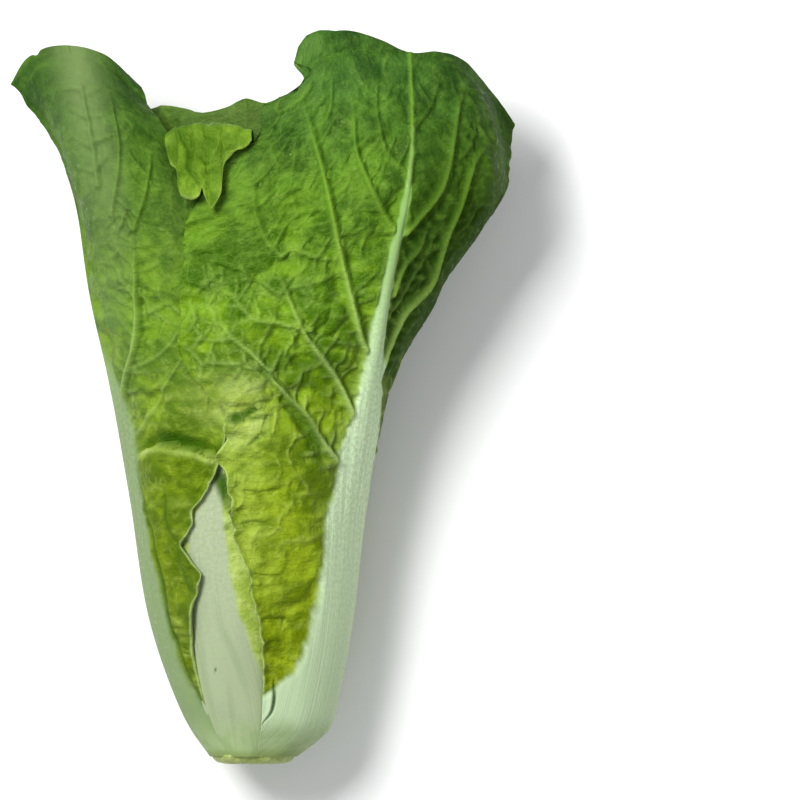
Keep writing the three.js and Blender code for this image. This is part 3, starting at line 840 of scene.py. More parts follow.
OUTER_LEAF_RIGHT = {
    "left_edge": [
        (1.2, OUTER_FOOT, 36.0), (2.4, 8, 39), (3, 14, 41.8), (1.5, 40, 47.8), (-7.5, 70, 52.2),
        (-18, 98, 56), (-19.5, 130, 57), (-10, 156, 57), (16.5, 189, 54),
    ],
    "left_blade": [
        (7.6, OUTER_FOOT, 33.9), (12.2, 8, 36.4), (14, 14, 38.6), (15.8, 40, 43.8),
        (14.6, 70, 50.5), (6.5, 98, 57), (9, 128, 60.5), (20, 161, 61.5), (23, 199.5, 52),
    ],
    "midrib": [
        (11.6, OUTER_FOOT, 29.2), (18.7, 8, 30), (21.4, 14, 30.8), (25.5, 40, 33.6),
        (27.6, 70, 38.8), (31, 98, 44.5), (36, 128, 54), (43, 162, 59), (43, 195.5, 50),
    ],
    "right_blade": [
        (11.8, OUTER_FOOT, 23.3), (19.2, 8, 22.3), (22.2, 14, 21.5), (26.9, 40, 20.2),
        (30.7, 70, 23.4), (36.2, 98, 27), (49.5, 127, 37), (65, 158, 46), (59, 190, 43),
    ],
    "right_edge": [
        (8.8, OUTER_FOOT, 17.8), (13.6, 8, 14.7), (15.6, 14, 13), (17.7, 40, 7.4),
        (19.9, 70, 7.1), (26.5, 98, 9.5), (44, 127, 16.5), (67.5, 153, 24), (71.5, 175, 29),
    ],
}
RIGHT_LEAF_MARGIN = (
    (3, 0), (11, 0.3), (15, 0), (19, 0), (22.6, -0.3), (26, -0.5), (30.7, -0.7),
    (36, -0.2), (42, 0), (51, -0.8), (59, -0.5), (65.5, -0.2), (73, -2.3), (78, -3.7),
    (82, -3.3), (85, -4.3), (88, -6.7), (91, -7.3), (95.5, -9.8), (98, -8.7), (102, -6),
    (106, -3.3), (113, 0), (120, -1), (130, 0), (136, 0), (142, 1.5), (148, 3), (154, 3),
    (160, 1), (164, 0), (192, 0),
)
RIGHT_LEAF_VEINS = (
    ([(33, 106), (32, 111), (29.4, 118), (24.8, 137), (22.9, 146), (18.2, 166), (14.1, 179),
      (10.6, 184)], 1.0),
    ([(30, 91), (27.5, 95.5), (23.9, 104), (18.2, 112), (13.9, 118.5), (10.6, 126), (7.6, 134),
      (7.9, 138.5)], 0.85),
    ([(7.9, 138.5), (11, 140), (17, 139), (24.6, 137)], 0.55),
    ([(16, 118), (6.4, 120.6), (0.2, 121.7), (-6.1, 127.9), (-16.6, 130.7)], 0.5),
    ([(10.6, 130), (14.7, 130.8), (18.2, 126.5)], 0.4),
    ([(21, 150.5), (9.2, 150.8), (5, 148)], 0.4),
    ([(38.3, 128), (41.4, 135.5), (45.2, 140.4), (49, 148)], 0.6),
    ([(52.5, 142), (58, 146), (63, 154)], 0.4),
    ([(53.3, 162.7), (59, 168), (62, 178)], 0.4),
    ([(7.9, 138.5), (4, 143), (1, 151), (1, 160)], 0.45),
    ([(25, 80), (19.9, 87), (15.2, 95.5), (9.5, 101), (1.5, 110.8), (-5.6, 116.7),
      (-7.6, 119.6), (-11, 120.8), (-18.5, 122.4)], 0.75),
    ([(-5.6, 116.5), (-11, 115.6), (-18, 116)], 0.4),
    ([(5.7, 107.5), (-5.2, 109.3), (-10.6, 109.6), (-16.9, 107.9)], 0.5),
    ([(39.7, 143.7), (35.4, 150.5), (31.6, 158.4), (28.6, 166.5), (27.8, 174), (27.2, 184)], 0.65),
    ([(41.6, 144.8), (50.1, 154.3), (53.3, 162.7), (55.8, 178.8), (58.8, 187)], 0.8),
    ([(34.4, 106.5), (37, 113.2), (41.6, 123), (48.2, 131.4), (52.5, 141.8), (55.2, 148),
      (59.6, 160.8), (62, 166), (66.4, 172)], 1.0),
    ([(37.6, 122), (42, 129), (47.5, 139), (51, 147)], 0.45),
    ([(10.6, 126), (1, 132), (-8, 131), (-16, 134)], 0.4),
    ([(23.5, 143), (30, 146), (34, 150)], 0.3),
    ([(20.4, 154), (12, 158), (6, 166), (4, 176)], 0.4),
    ([(27, 128), (32, 133), (36, 137)], 0.3),
    ([(21, 154), (26, 158), (28, 163)], 0.3),
    ([(43, 160), (36, 168), (34, 180), (35, 190)], 0.4),
    ([(43.4, 172), (49, 180), (51, 188)], 0.4),
    ([(16, 172), (21, 178), (22, 188)], 0.35),
)
right_leaf = Leaf(
    OUTER_LEAF_RIGHT, columns=264, rows=336, focus=0.6, foot_easing=300, seed=11,
    left_margin=RIGHT_LEAF_MARGIN,
    ragged=((3, 0), (14, 0.2), (20, 0.5), (60, 0.6), (95, 0.7), (108, 0.3), (125, 0.2), (200, 0.1)),
    right_margin=((3, 0), (140, 0), (160, 0.5), (176, 0)),
    tip_margin=((0, 0), (0.3, 0), (0.4, -0.5), (0.5, -1.6), (0.6, 0.4), (0.75, 1.2), (1, 0)),
    tip_pull=((0, 0, 0), (0.01, -1, 0.3), (0.03, -5.8, 0.8), (0.09, -5.8, 2), (0.15, -4.6, 2.2),
              (0.2, -2.6, 1.4), (0.25, -0.4, 0), (0.3, 0, 0), (1, 0, 0)),
    side_pull=((0, 0), (155, 0), (158, -2), (162, -4.5), (166, -7), (167.4, -4), (168.6, -0.5),
               (171, 0.9), (173.4, -0.8), (176, -3), (178, -4.7), (179.6, -5.8), (180.4, -5.5),
               (180.9, -1.5), (181.6, 0), (200, 0)),
)
right_veins = [(right_leaf.flat(path), strength) for path, strength in RIGHT_LEAF_VEINS]
right_veins += cross_veins(right_veins, gap=5.5, seed=12)
low_veins = side_veins(right_leaf, first=18, last=84, count=6, seed=13)
right_veins += [(path, 0.45 * strength) for path, strength in low_veins if path[-1, 0] > 0]
# The blade is crumpled along its free margin, and less towards the petiole.
puckered = np.exp(-(right_leaf.left_reach / 17.0) ** 2) * smooth_step(25, 60, right_leaf.y)
puckered = 0.45 + 0.5 * puckered * smooth_step(120, 104, right_leaf.y)
puckered = puckered * smooth_step(20, 60, right_leaf.y)
puckered = puckered * (1 - 0.8 * smooth_step(0, 4, right_leaf.s))
right_relief = leaf_relief(
    right_leaf, right_veins, crumple=puckered,
    petiole=((3, 27, 27), (11, 27, 27), (15, 27, 26), (18, 25, 24), (21, 21, 22), (25, 17, 20),
             (29, 15, 19), (37, 13.3, 18), (44, 13, 17.5), (51, 12.4, 17), (58, 11.2, 17), (66, 11, 16.5),
             (74, 9, 15.5), (84, 7.6, 14), (92, 5.4, 10), (97, 3.9, 7.5), (105, 2.9, 5),
             (115, 2.3, 2.8), (127, 1.9, 2), (147, 1.3, 1.3), (165, 0.8, 0.8), (200, 0.5, 0.5)),
    seed=11,
    crinkle=((0, 0.6), (30, 0.8), (60, 0.9), (100, 1), (150, 0.8), (185, 0.5), (200, 0.35)),
    calm_right=0.5,
    frill=((3, 0), (15, 0.2), (22, 0.8), (60, 0.7), (95, 0.8), (106, 0.3), (125, 0.1), (200, 0)),
    frill_side=-1,
    # Each crease is sunk and painted with shade along its slit, as much as its shade value says.
    creases=(
        {"path": [(3, 11.5), (5.4, 15), (6.2, 19), (6.0, 22.8)], "width": 0.5, "depth": 1.0,
         "lip": 0.6, "lip_side": 1, "shade": 0.7},
        # These creases are mostly painted shade: dark slits that stand for holes through to the leaves
        # behind.
        {"path": [(-8.5, 94.8), (-4.5, 94.6), (-1, 95.3)], "width": 1.9, "depth": 0.3, "shade": 1.0},
        {"path": [(-6, 93.8), (-3, 95.4), (1.5, 97.6), (4.5, 99.4)], "width": 1.2, "depth": 0.3,
         "shade": 1.0},
        {"path": [(-3, 94.8), (1.5, 94.4), (6, 95)], "width": 0.7, "depth": 0.3, "shade": 0.85},
        {"path": [(-0.8, 87.2), (1.6, 89.4), (4.6, 91)], "width": 0.6, "depth": 0.5, "lip": 0.5,
         "lip_side": 1, "shade": 0.7},
        {"path": [(-5.2, 108.2), (0, 109.3), (4, 107.2), (9, 103)], "width": 0.7, "depth": 1.2,
         "lip": 0.9, "lip_side": -1, "shade": 0.7},
        {"path": [(8, 101), (13, 95.5), (17, 88.5), (19.3, 80)], "width": 2.2, "depth": 1.0,
         "shade": 0.75},
        {"path": [(-17, 139.4), (-11, 138.6), (-6, 140.6)], "width": 1.8, "depth": 0.8,
         "shade": 0.8},
        {"path": [(-11.7, 136.9), (-6, 134.9), (1, 131.9)], "width": 0.6, "depth": 1.0,
         "lip": 0.9, "lip_side": 1, "shade": 0.6},
        {"path": [(-5.5, 65.2), (0, 65.6), (5.5, 66)], "width": 0.6, "depth": 1.0, "lip": 1.0,
         "lip_side": 1, "shade": 0.5},
        {"path": [(2, 39.6), (6, 40), (11, 39.6)], "width": 0.6, "depth": 0.6, "lip": 0.6,
         "lip_side": 1, "shade": 0.3},
        {"path": [(2.6, 32.6), (6, 33.6), (9.5, 32.8)], "width": 0.5, "depth": 0.5, "lip": 0.5,
         "lip_side": 1, "shade": 0.25},
        {"path": [(0, 52), (4, 51), (9, 52)], "width": 0.6, "depth": 0.8, "lip": 0.7,
         "lip_side": 1, "shade": 0.3},
        {"path": [(-3, 75), (3, 74), (9, 76)], "width": 0.7, "depth": 0.8, "lip": 0.8,
         "lip_side": 1, "shade": 0.3},
        {"path": [(15.8, 189.8), (21, 192.3), (27.2, 194), (35, 194.2), (43.3, 193)],
         "width": 0.6, "depth": 0.9, "shade": 0.4},
    ),
)
# Painted highlight: the crumpled patch near (-2, 97) is painted pale where it catches the light; the
# blade is also a little paler along its lower free margin.
crumpled = ((right_leaf.base[:, :, 0] + 2) / 6.5) ** 2 + ((right_leaf.y - 97) / 9) ** 2
near_margin = np.exp(-(right_leaf.left_reach / 9.0) ** 2) * smooth_step(40, 62, right_leaf.y)
near_margin = near_margin * smooth_step(112, 96, right_leaf.y)
right_relief["pale"] = np.clip(0.9 * np.exp(-crumpled) + 0.22 * near_margin, 0, 0.9)
# Painted shade: the right half, which folds back round the side away from the lamp, is darker green, most
# from 100 to 150 mm up.
shaded = smooth_step(1.0, 4.5, right_leaf.s) * smooth_step(62, 112, right_leaf.y)
right_relief["deep"] = shaded * profile(
    ((0, 0.7), (100, 0.95), (130, 0.98), (150, 0.96), (165, 0.6), (180, 0.22), (200, 0.12)),
    right_leaf.y)
# A painted shadow also lies in the hollow left of the rib, about 87 mm up.
hollow = ((right_leaf.base[:, :, 0] - 10) / 8) ** 2 + ((right_leaf.y - 87) / 5) ** 2
right_relief["deep"] = right_relief["deep"] + 0.35 * np.exp(-hollow) * (right_leaf.s < 0)
outer_leaf_right = close_leaf(
    "outer_leaf_right_skin", right_leaf, right_relief,
    thickness=((3, 3.4), (30, 6.2), (80, 5.5), (110, 3.2), (150, 1.6), (200, 0.7)),
)
outer_leaf_right.data.materials.append(outer_skin)
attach(outer_leaf_right, "root")
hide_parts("outer_leaf_right")


# ------------------------------------------------------------------------------------------------
# The outer left leaf. Its petiole is the head's left flank, its right half runs over to the front
# under the right leaf and ends in a crumpled margin, and its top rolls outward.
# ------------------------------------------------------------------------------------------------
FOOT_SPREAD = 1.12


def foot(x, z):
    """A point of an outer leaf's foot: set out on the butt's rim, then spread by its flare."""
    return x * FOOT_SPREAD, OUTER_FOOT, AXIS_HEIGHT + (z - AXIS_HEIGHT) * FOOT_SPREAD


OUTER_LEAF_LEFT = {
    "left_edge": [
        foot(-6, 16.4), (-11.2, 14, 11), (-16.3, 40, 6.2), (-17.5, 70, 5),
        (-22, 98, 6.5), (-34, 128, 10), (-45, 156, 22), (-66, 185.5, 38),
    ],
    "left_blade": [
        foot(-9.3, 20.1), (-17.2, 14, 17), (-25, 40, 14.2), (-28.6, 70, 14),
        (-33, 98, 16.5), (-42.5, 128, 25), (-48.5, 157, 38), (-60, 193, 46),
    ],
    "midrib": [
        foot(-10.5, 25), (-19.5, 14, 25), (-28.4, 40, 25), (-33, 70, 27),
        (-36.5, 98, 31), (-40, 128, 41), (-43, 160, 52), (-51, 196, 50),
    ],
    "right_blade": [
        foot(-9.1, 30.3), (-16.9, 14, 33.5), (-25, 40, 35.8), (-27, 70, 42),
        (-24, 98, 47.5), (-24, 128, 51.5), (-30, 160, 54), (-40, 193.5, 50),
    ],
    "right_edge": [
        (-6.3, OUTER_FOOT, 34.2), (-12, 14, 36.9), (-16, 40, 44), (-14, 70, 49.5),
        (-7, 98, 52.5), (-4, 128, 53.5), (-17, 158, 51), (-31, 186, 44),
    ],
}
# Painted shade: the left leaf's flesh is a darker copy of the outer leaves' pale flesh, as though this
# flank were out of the light.
LEFT_FLESH_SHADED = (0.23, 0.32, 0.15)
LEFT_FLESH_EDGE_SHADED = (0.20, 0.285, 0.125)
left_shaded_skin = leaf_skin("left_leaf_shaded_skin", LEFT_FLESH_SHADED, LEFT_FLESH_EDGE_SHADED)

LEFT_LEAF_MARGIN = (
    (3, 0), (14, 0), (24, -1.3), (32, -1.5), (40, 0), (44.4, 0.5), (49, 2.2), (52, 2.6),
    (54.5, 0.3), (56.6, -1.5), (60.4, -4.9), (63, -3.2), (66, -1.5), (69.4, -2.3), (72, -0.5),
    (75.4, 0.8), (79.5, 2.1), (83, 2.1), (88, 2.5), (98, 0), (128, 1), (150, 3), (165, 2.5),
    (176, 1), (186, 0),
)
LEFT_LEAF_VEINS = (
    ([(-34, 89), (-35, 98), (-33.5, 107.5), (-31.6, 121.6), (-32, 132), (-32.4, 146)], 0.75),
    ([(-32.4, 146), (-35.4, 149.6), (-41, 145.8)], 0.45),
    ([(-31.8, 127), (-38, 136), (-41, 145)], 0.4),
    ([(-32.4, 146), (-29, 156), (-27, 168)], 0.4),
    ([(-31.8, 122), (-27, 124), (-20, 127)], 0.4),
    ([(-33.5, 107.5), (-25, 112), (-18, 121)], 0.35),
    ([(-33, 88), (-27, 97), (-21, 108), (-17, 116)], 0.35),
    ([(-42, 158), (-44, 172), (-47, 188)], 0.45),
    ([(-38, 150), (-36, 168), (-39, 184)], 0.35),
)
left_leaf = Leaf(
    OUTER_LEAF_LEFT, columns=264, rows=336, focus=0.4, foot_easing=200, seed=31,
    rib_shift=((0, 0), (88, 0), (100, -1.5), (113, -4), (128, -12), (150, -18), (170, -20),
               (200, -20)),
    right_margin=LEFT_LEAF_MARGIN,
    ragged=((3, 0), (20, 0.1), (40, 0.3), (85, 0.3), (100, 0.2), (200, 0.1)),
    left_margin=((3, 0), (140, 0), (150, -0.5), (160, 0), (170, 0.5), (178, -1.0), (183, -1.2),
                 (186, 0)),
    tip_margin=((0, 0), (0.14, 0.6), (0.24, 0.4), (0.285, -0.5), (0.33, 0.3), (0.5, 0), (1, 0)),
)
left_veins = [(left_leaf.flat(path), strength) for path, strength in LEFT_LEAF_VEINS]
left_veins += cross_veins(left_veins, gap=7.0, seed=32)
far_veins = side_veins(left_leaf, first=22, last=96, count=6, seed=33)
left_veins += [(path, 0.6 * strength) for path, strength in far_veins if path[-1, 0] < 0]
creased = 0.35 * np.exp(-(left_leaf.right_reach / 14.0) ** 2) * smooth_step(48, 66, left_leaf.y)
creased = creased * smooth_step(112, 92, left_leaf.y) + 0.25 * smooth_step(92, 112, left_leaf.y)
left_relief = leaf_relief(
    left_leaf, left_veins, crumple=creased,
    petiole=((3, 14, 16), (14, 14, 15.5), (24, 14, 14), (35, 14, 13.5), (46, 13, 14.2),
             (54, 13, 13.6), (62, 12, 12.8), (72, 11, 10.5), (80, 10, 9.5), (88, 8, 8.5),
             (100, 4, 6), (113, 2.5, 3), (128, 1.9, 1.9), (150, 1.1, 1.1), (175, 0.7, 0.7),
             (200, 0.45, 0.45)),
    seed=31,
    crinkle=((0, 0.6), (60, 0.8), (100, 0.8), (130, 0.65), (150, 0.25), (200, 0.15)),
    frill=((3, 0), (15, 0.1), (30, 0.3), (60, 0.4), (80, 0.5), (95, 0.1), (200, 0)),
    frill_side=1,
    lobes=(
        {"path": [(-31.5, 84.6), (-28.5, 86.2), (-25.6, 87.1), (-21, 86.4), (-15.2, 85.6),
                  (-10.6, 83.5), (-8.2, 82)],
         "side": -1, "rise": 2.3, "reach": 8.0, "dip": 2.4, "dip_reach": 3.4},
    ),
    creases=(
        # Each crease is painted with shade along its slit; the first is a painted shadow, a dark band
        # above the lobe's lip.
        {"path": [(-31.5, 86.8), (-27, 88.6), (-21, 88.4), (-15.2, 87.4), (-10.6, 85.4),
                  (-8, 84)], "width": 2.1, "depth": 0.4, "shade": 1.0},
        {"path": [(-32.1, 83), (-30.2, 73.5), (-27.9, 65), (-26, 56), (-24.5, 48.4),
                  (-22.6, 38.9), (-21, 34.3), (-17.2, 24), (-12.3, 14.8)], "width": 0.8,
         "depth": 0.6, "shade": 0.75},
        {"path": [(-24.5, 75), (-23, 66), (-20.3, 60.4), (-18, 57)], "width": 0.6, "depth": 0.5,
         "lip": 0.6, "lip_side": 1, "shade": 0.55},
        {"path": [(-20.3, 60.4), (-19.5, 54), (-17.5, 49), (-17, 44)], "width": 0.8,
         "depth": 0.0, "lip": 0.6, "lip_side": 1, "shade": 0.6},
    ),
)
# Painted sheen: a broad pale haze down the rolled upper half of the left leaf along this path, and a thin
# one over its middle heights.
haze_reach, haze_share, _, _ = path_distance(
    left_leaf.base[:, :, 0], left_leaf.y,
    [(-48.2, 194), (-45.4, 178.5), (-41.4, 162), (-38, 145.8), (-38, 129.5), (-37.3, 113),
     (-34.6, 94)])
thin_haze = 0.10 * smooth_step(86, 104, left_leaf.y) * smooth_step(176, 150, left_leaf.y)
thick_haze = (0.85 - 0.7 * haze_share) * np.exp(-(haze_reach / 6.5) ** 2)
left_relief["painted_sheen"] = np.maximum(thick_haze, thin_haze)
behind = smooth_step(98, 122, left_leaf.y)
behind = behind * (0.45 + 0.55 * smooth_step(-2, 1, left_leaf.s))
left_relief["petiole"] = left_relief["petiole"] * (1 - behind)
left_relief["rib"] = left_relief["rib"] * (1 - behind) * smooth_step(172, 150, left_leaf.y)
# Painted highlight: a pale line along the lobe's lit lip, and a pale lit patch by the corner at (-9, 98).
lip_reach, _, _, _ = path_distance(
    left_leaf.base[:, :, 0], left_leaf.y,
    [(-31.5, 84.2), (-28.5, 85.6), (-25.6, 86.2), (-21, 85.7), (-15.2, 84.8), (-10.6, 82.8)])
by_corner = ((left_leaf.base[:, :, 0] + 9) / 6) ** 2 + ((left_leaf.y - 98) / 6) ** 2
left_relief["pale"] = 0.6 * np.exp(-(lip_reach / 0.9) ** 2) + 0.6 * np.exp(-by_corner)
# Painted shade on the left leaf as well: a darker green, most at the foot and towards the top, least
# about 90 mm up.
left_relief["deep"] = profile(((0, 0.6), (60, 0.42), (80, 0.26), (90, 0.1), (120, 0.12),
                               (150, 0.3), (180, 0.35), (200, 0.45)), left_leaf.y)
outer_leaf_left = close_leaf(
    "outer_leaf_left_skin", left_leaf, left_relief,
    thickness=((3, 3.4), (30, 6.0), (80, 5.2), (110, 3.0), (150, 1.6), (200, 0.7)),
)
outer_leaf_left.data.materials.append(left_shaded_skin)
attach(outer_leaf_left, "root")
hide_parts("outer_leaf_left")


# ------------------------------------------------------------------------------------------------
# The front leaf, between the two outer ones. Only its broad cream midrib shows at the foot; its
# blade runs up inside, and the tip comes out at the top and folds forward.
# ------------------------------------------------------------------------------------------------
FRONT_LEAF = {
    "left_edge": [
        (-7.5, OUTER_FOOT, 33.2), (-12.5, 11, 35), (-16, 20, 36.2), (-19, 40, 38.4),
        (-22, 70, 41.8), (-25, 98, 37.5), (-27, 128, 44.5), (-23, 156, 47), (-23.5, 171, 53),
        (-22, 151.5, 58),
    ],
    "left_blade": [
        (-4.2, OUTER_FOOT, 36.0), (-8.3, 11, 37.8), (-10, 20, 40.5), (-13, 40, 43.8),
        (-16, 70, 46.8), (-17, 98, 42), (-18, 128, 48), (-17, 158, 48), (-18.5, 173.6, 54),
        (-18, 151, 60),
    ],
    "midrib": [
        (-2.1, OUTER_FOOT, 36.6), (-3.3, 11, 39.6), (-4, 20, 42), (-6.5, 40, 46.2),
        (-8, 70, 49.4), (-7.5, 98, 49.3), (-8, 128, 49.8), (-9, 161, 48), (-12, 174, 55),
        (-11.5, 150.5, 62),
    ],
    "right_blade": [
        (-0.2, OUTER_FOOT, 36.7), (0.6, 11, 39.8), (0.6, 20, 41.8), (-1, 40, 45.8), (2, 70, 48.9),
        (4, 98, 50), (4, 128, 51), (1, 160, 49.5), (-5.5, 173.4, 57), (-5, 151, 63),
    ],
    "right_edge": [
        (3.6, OUTER_FOOT, 34.9), (5.6, 11, 38.6), (6, 20, 40), (5, 40, 43.5), (11, 70, 45.5),
        (15, 98, 46.5), (16, 128, 50), (3, 158, 49.5), (0, 172.5, 57.5), (1.5, 152, 62.5),
    ],
}
FRONT_FLESH = (0.40, 0.46, 0.305)
FRONT_FLESH_EDGE = (0.35, 0.42, 0.25)
front_skin = leaf_skin("front_leaf_skin", FRONT_FLESH, FRONT_FLESH_EDGE, low_flesh=0.93)
front = Leaf(
    FRONT_LEAF, columns=176, rows=320, seed=51, row_focus=(0.87, 0.6),
    rib_shift=((0, 0), (14, 0), (30, -2), (44, -4), (58, -4), (70, -3), (85, 0), (200, 0)),
    tip_margin=((0, -19), (0.03, -14), (0.07, -11.8), (0.12, -10.8), (0.165, -9.6), (0.18, -6),
                (0.205, -3.8), (0.25, -3.2), (0.32, -2.8), (0.38, -3.1), (0.425, -4), (0.44, -6),
                (0.455, -4.6), (0.49, -2.4), (0.53, -0.4), (0.57, -1.6), (0.62, -3.6),
                (0.646, -5), (0.656, -8), (0.668, -10.4), (0.7, -12), (0.75, -13.2),
                (0.82, -14.8), (0.9, -15.4), (0.96, -16.8), (1, -18.5)),
)
front_veins = side_veins(front, first=60, last=165, count=7, seed=51)
front_relief = leaf_relief(
    front, front_veins, crumple=-0.7 * smooth_step(0.88, 0.93, front.upward),
    petiole=((3, 14, 14), (14, 12, 12), (25, 11, 9), (35, 10, 7.5), (44, 9, 6.5), (52, 8, 5.8),
             (58, 7, 5), (64, 6, 4), (70, 4, 3.2), (76, 2.5, 1.8), (80, 1.2, 0.9), (90, 0.8, 0.8),
             (150, 0.5, 0.5), (200, 0.5, 0.5)),
    seed=51, quilt_size=4.5, crinkle=((0, 0.4), (80, 0.5), (140, 0.5), (180, 0.45)), rib_rise=0.7,
    creases=(
        {"path": [(-10.4, 25), (-10, 26), (-9.9, 27)], "width": 0.3, "depth": 0.1, "shade": 0.9},
        {"path": [(-9.6, 46), (-8.6, 38), (-4.4, 29), (-0.4, 17)], "width": 1.3, "depth": 0.35,
         "shade": 0.12},
        {"path": [(-14, 34), (-12.6, 22), (-9.6, 10)], "width": 1.3, "depth": 0.3, "shade": 0.12},
        {"path": [(-6.8, 24), (-5.4, 14), (-4.2, 5)], "width": 1.0, "depth": 0.25, "shade": 0.1},
        # Painted shade: a dark gap beside the midrib's tip.
        {"path": [(-11.5, 83), (-9.4, 79.5), (-7.6, 76), (-6.4, 72.5), (-5.6, 68.5)],
         "width": 2.0, "depth": 0.4, "shade": 1.0},
        # The folded tip's creases carry painted shade in their folds.
        {"path": [(-20, 173.4), (-18.2, 169.8), (-16.7, 166.7), (-16.7, 162), (-14.3, 158.9),
                  (-12.8, 154.2)], "width": 0.7, "depth": -1.0, "lip": -0.5, "lip_side": 1,
         "shade": 0.7, "folded": True},
        {"path": [(-16.3, 173.4), (-16, 168), (-16.4, 162.5)], "width": 0.4, "depth": -0.6,
         "shade": 0.6, "folded": True},
        {"path": [(-12.5, 171), (-9, 168.5), (-5, 168), (-1.5, 169.4)], "width": 0.6,
         "depth": -0.6, "lip": -0.6, "lip_side": 1, "shade": 0.35, "folded": True},
        {"path": [(-15, 166), (-12, 163.6), (-9.5, 163)], "width": 0.5, "depth": -0.6,
         "lip": -0.6, "lip_side": 1, "shade": 0.35, "folded": True},
        {"path": [(-13.4, 160.6), (-10.8, 161.2), (-8.6, 162)], "width": 0.5, "depth": -0.6,
         "shade": 0.5, "folded": True},
    ),
)
folded = smooth_step(0.86, 0.90, front.upward)
from_tip = front.t[-1:, :] - front.t
tip_rim = folded * np.exp(-(from_tip / 0.9) ** 2)
front_relief["lift"] = front_relief["lift"] * (1 - 0.35 * folded)
front_relief["young"] = 0.9 * folded
for label in ("rib", "vein"):
    front_relief[label] = front_relief[label] * (1 - folded)
front_relief["petiole"] = front_relief["petiole"] * smooth_step(120, 100, front.y)
low = smooth_step(85, 77, front.y)
front_relief["pale"] = 0.95 * low + 0.3 * tip_rim
front_relief["lift"] = front_relief["lift"] * (1 - 0.6 * low)
front_leaf = close_leaf(
    "front_leaf_skin", front, front_relief,
    thickness=((3, 3.0), (30, 4.4), (80, 3.2), (110, 2.2), (150, 0.6), (200, 0.5)),
    stride=2,
)
front_leaf.data.materials.append(front_skin)
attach(front_leaf, "root")
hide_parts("front_leaf")


# ------------------------------------------------------------------------------------------------
# The outer back leaf, which the head lies on. Its petiole's belly touches the table and its blade
# is pressed flat. Left and right are as seen from outside, so its left edge is at +X.
# ------------------------------------------------------------------------------------------------
OUTER_LEAF_BACK = {
    "left_edge": [
        foot(5, 16), (12.5, 14, 11.2), (15, 40, 6), (17, 70, 5),
        (29, 98, 4.2), (44, 128, 5.5), (48, 152, 8.5), (40, 168, 10),
    ],
    "left_blade": [
        foot(2.8, 14.9), (6.5, 14, 8.9), (8, 40, 2.9), (9.5, 70, 1.5),
        (16, 98, 1.4), (25, 128, 1.2), (28, 153, 1.6), (22, 174.5, 4.5),
    ],
    "midrib": [
        foot(0, 14.5), (1, 14, 8), (0, 40, 2), (1, 70, 0.5),
        (2, 98, 0.6), (3, 128, 0.3), (4, 153, 0.3), (4, 177, 3),
    ],
    "right_blade": [
        foot(-2.8, 14.9), (-4.5, 14, 8.7), (-7, 40, 2.9), (-7.5, 70, 1.3),
        (-12, 98, 1.3), (-18, 128, 1), (-20, 153, 1.6), (-15, 174, 4.5),
    ],
    "right_edge": [
        foot(-5, 16), (-9, 14, 10.4), (-13.5, 40, 5.4), (-14.5, 70, 3.5),
        (-25, 98, 2.8), (-37, 128, 3.8), (-38, 152, 7.5), (-30, 167, 10),
    ],
}
back = Leaf(OUTER_LEAF_BACK, columns=144, rows=184, seed=71)
back_veins = side_veins(back, first=70, last=160, count=7, seed=71)
back_relief = leaf_relief(
    back, back_veins,
    petiole=((3, 9, 9), (14, 11, 11), (42, 12, 12), (58, 11, 11), (72, 10, 10), (91, 7, 7),
             (108, 3.5, 3.5), (130, 2, 2), (150, 1.4, 1.4), (178, 0.7, 0.7), (200, 0.5, 0.5)),
    seed=71, crinkle=((0, 0.5), (200, 0.5)),
)
# Pressed on the table: nothing stands out below the sheet where the leaf lies on it.
back_relief["lift"] = np.minimum(back_relief["lift"], np.maximum(back.base[:, :, 2] - 0.15, 0))
outer_leaf_back = close_leaf(
    "outer_leaf_back_skin", back, back_relief,
    thickness=((3, 3.4), (30, 6.0), (80, 5.0), (110, 3.0), (150, 1.6), (200, 0.8)),
)
outer_leaf_back.data.materials.append(outer_skin)
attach(outer_leaf_back, "root")
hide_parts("outer_leaf_back")


# ------------------------------------------------------------------------------------------------
# The inner leaves, nested round the axis. Each stands on the butt's core, faces its own way, and
# lies at its own depth inside the head's oval; the younger ones are shorter and paler.
# ------------------------------------------------------------------------------------------------
INNER_FOOT = 24.3
SHOULDER = 9.0     # how much lower a leaf's edges end than its tip
SECTION_Y = (INNER_FOOT, 50, 75, 100, 128, 152, 174)
SECTION_CENTRE_X = (0, 0, -1, 0, 3, 7, 7)
SECTION_CENTRE_Z = (25, 26, 27, 28.5, 30, 30, 31)
SECTION_HALF_X = (24.5, 29.5, 32.5, 36.5, 45, 52, 56)
SECTION_HALF_Z = (20.5, 24.5, 26.5, 27.5, 28, 28, 29)

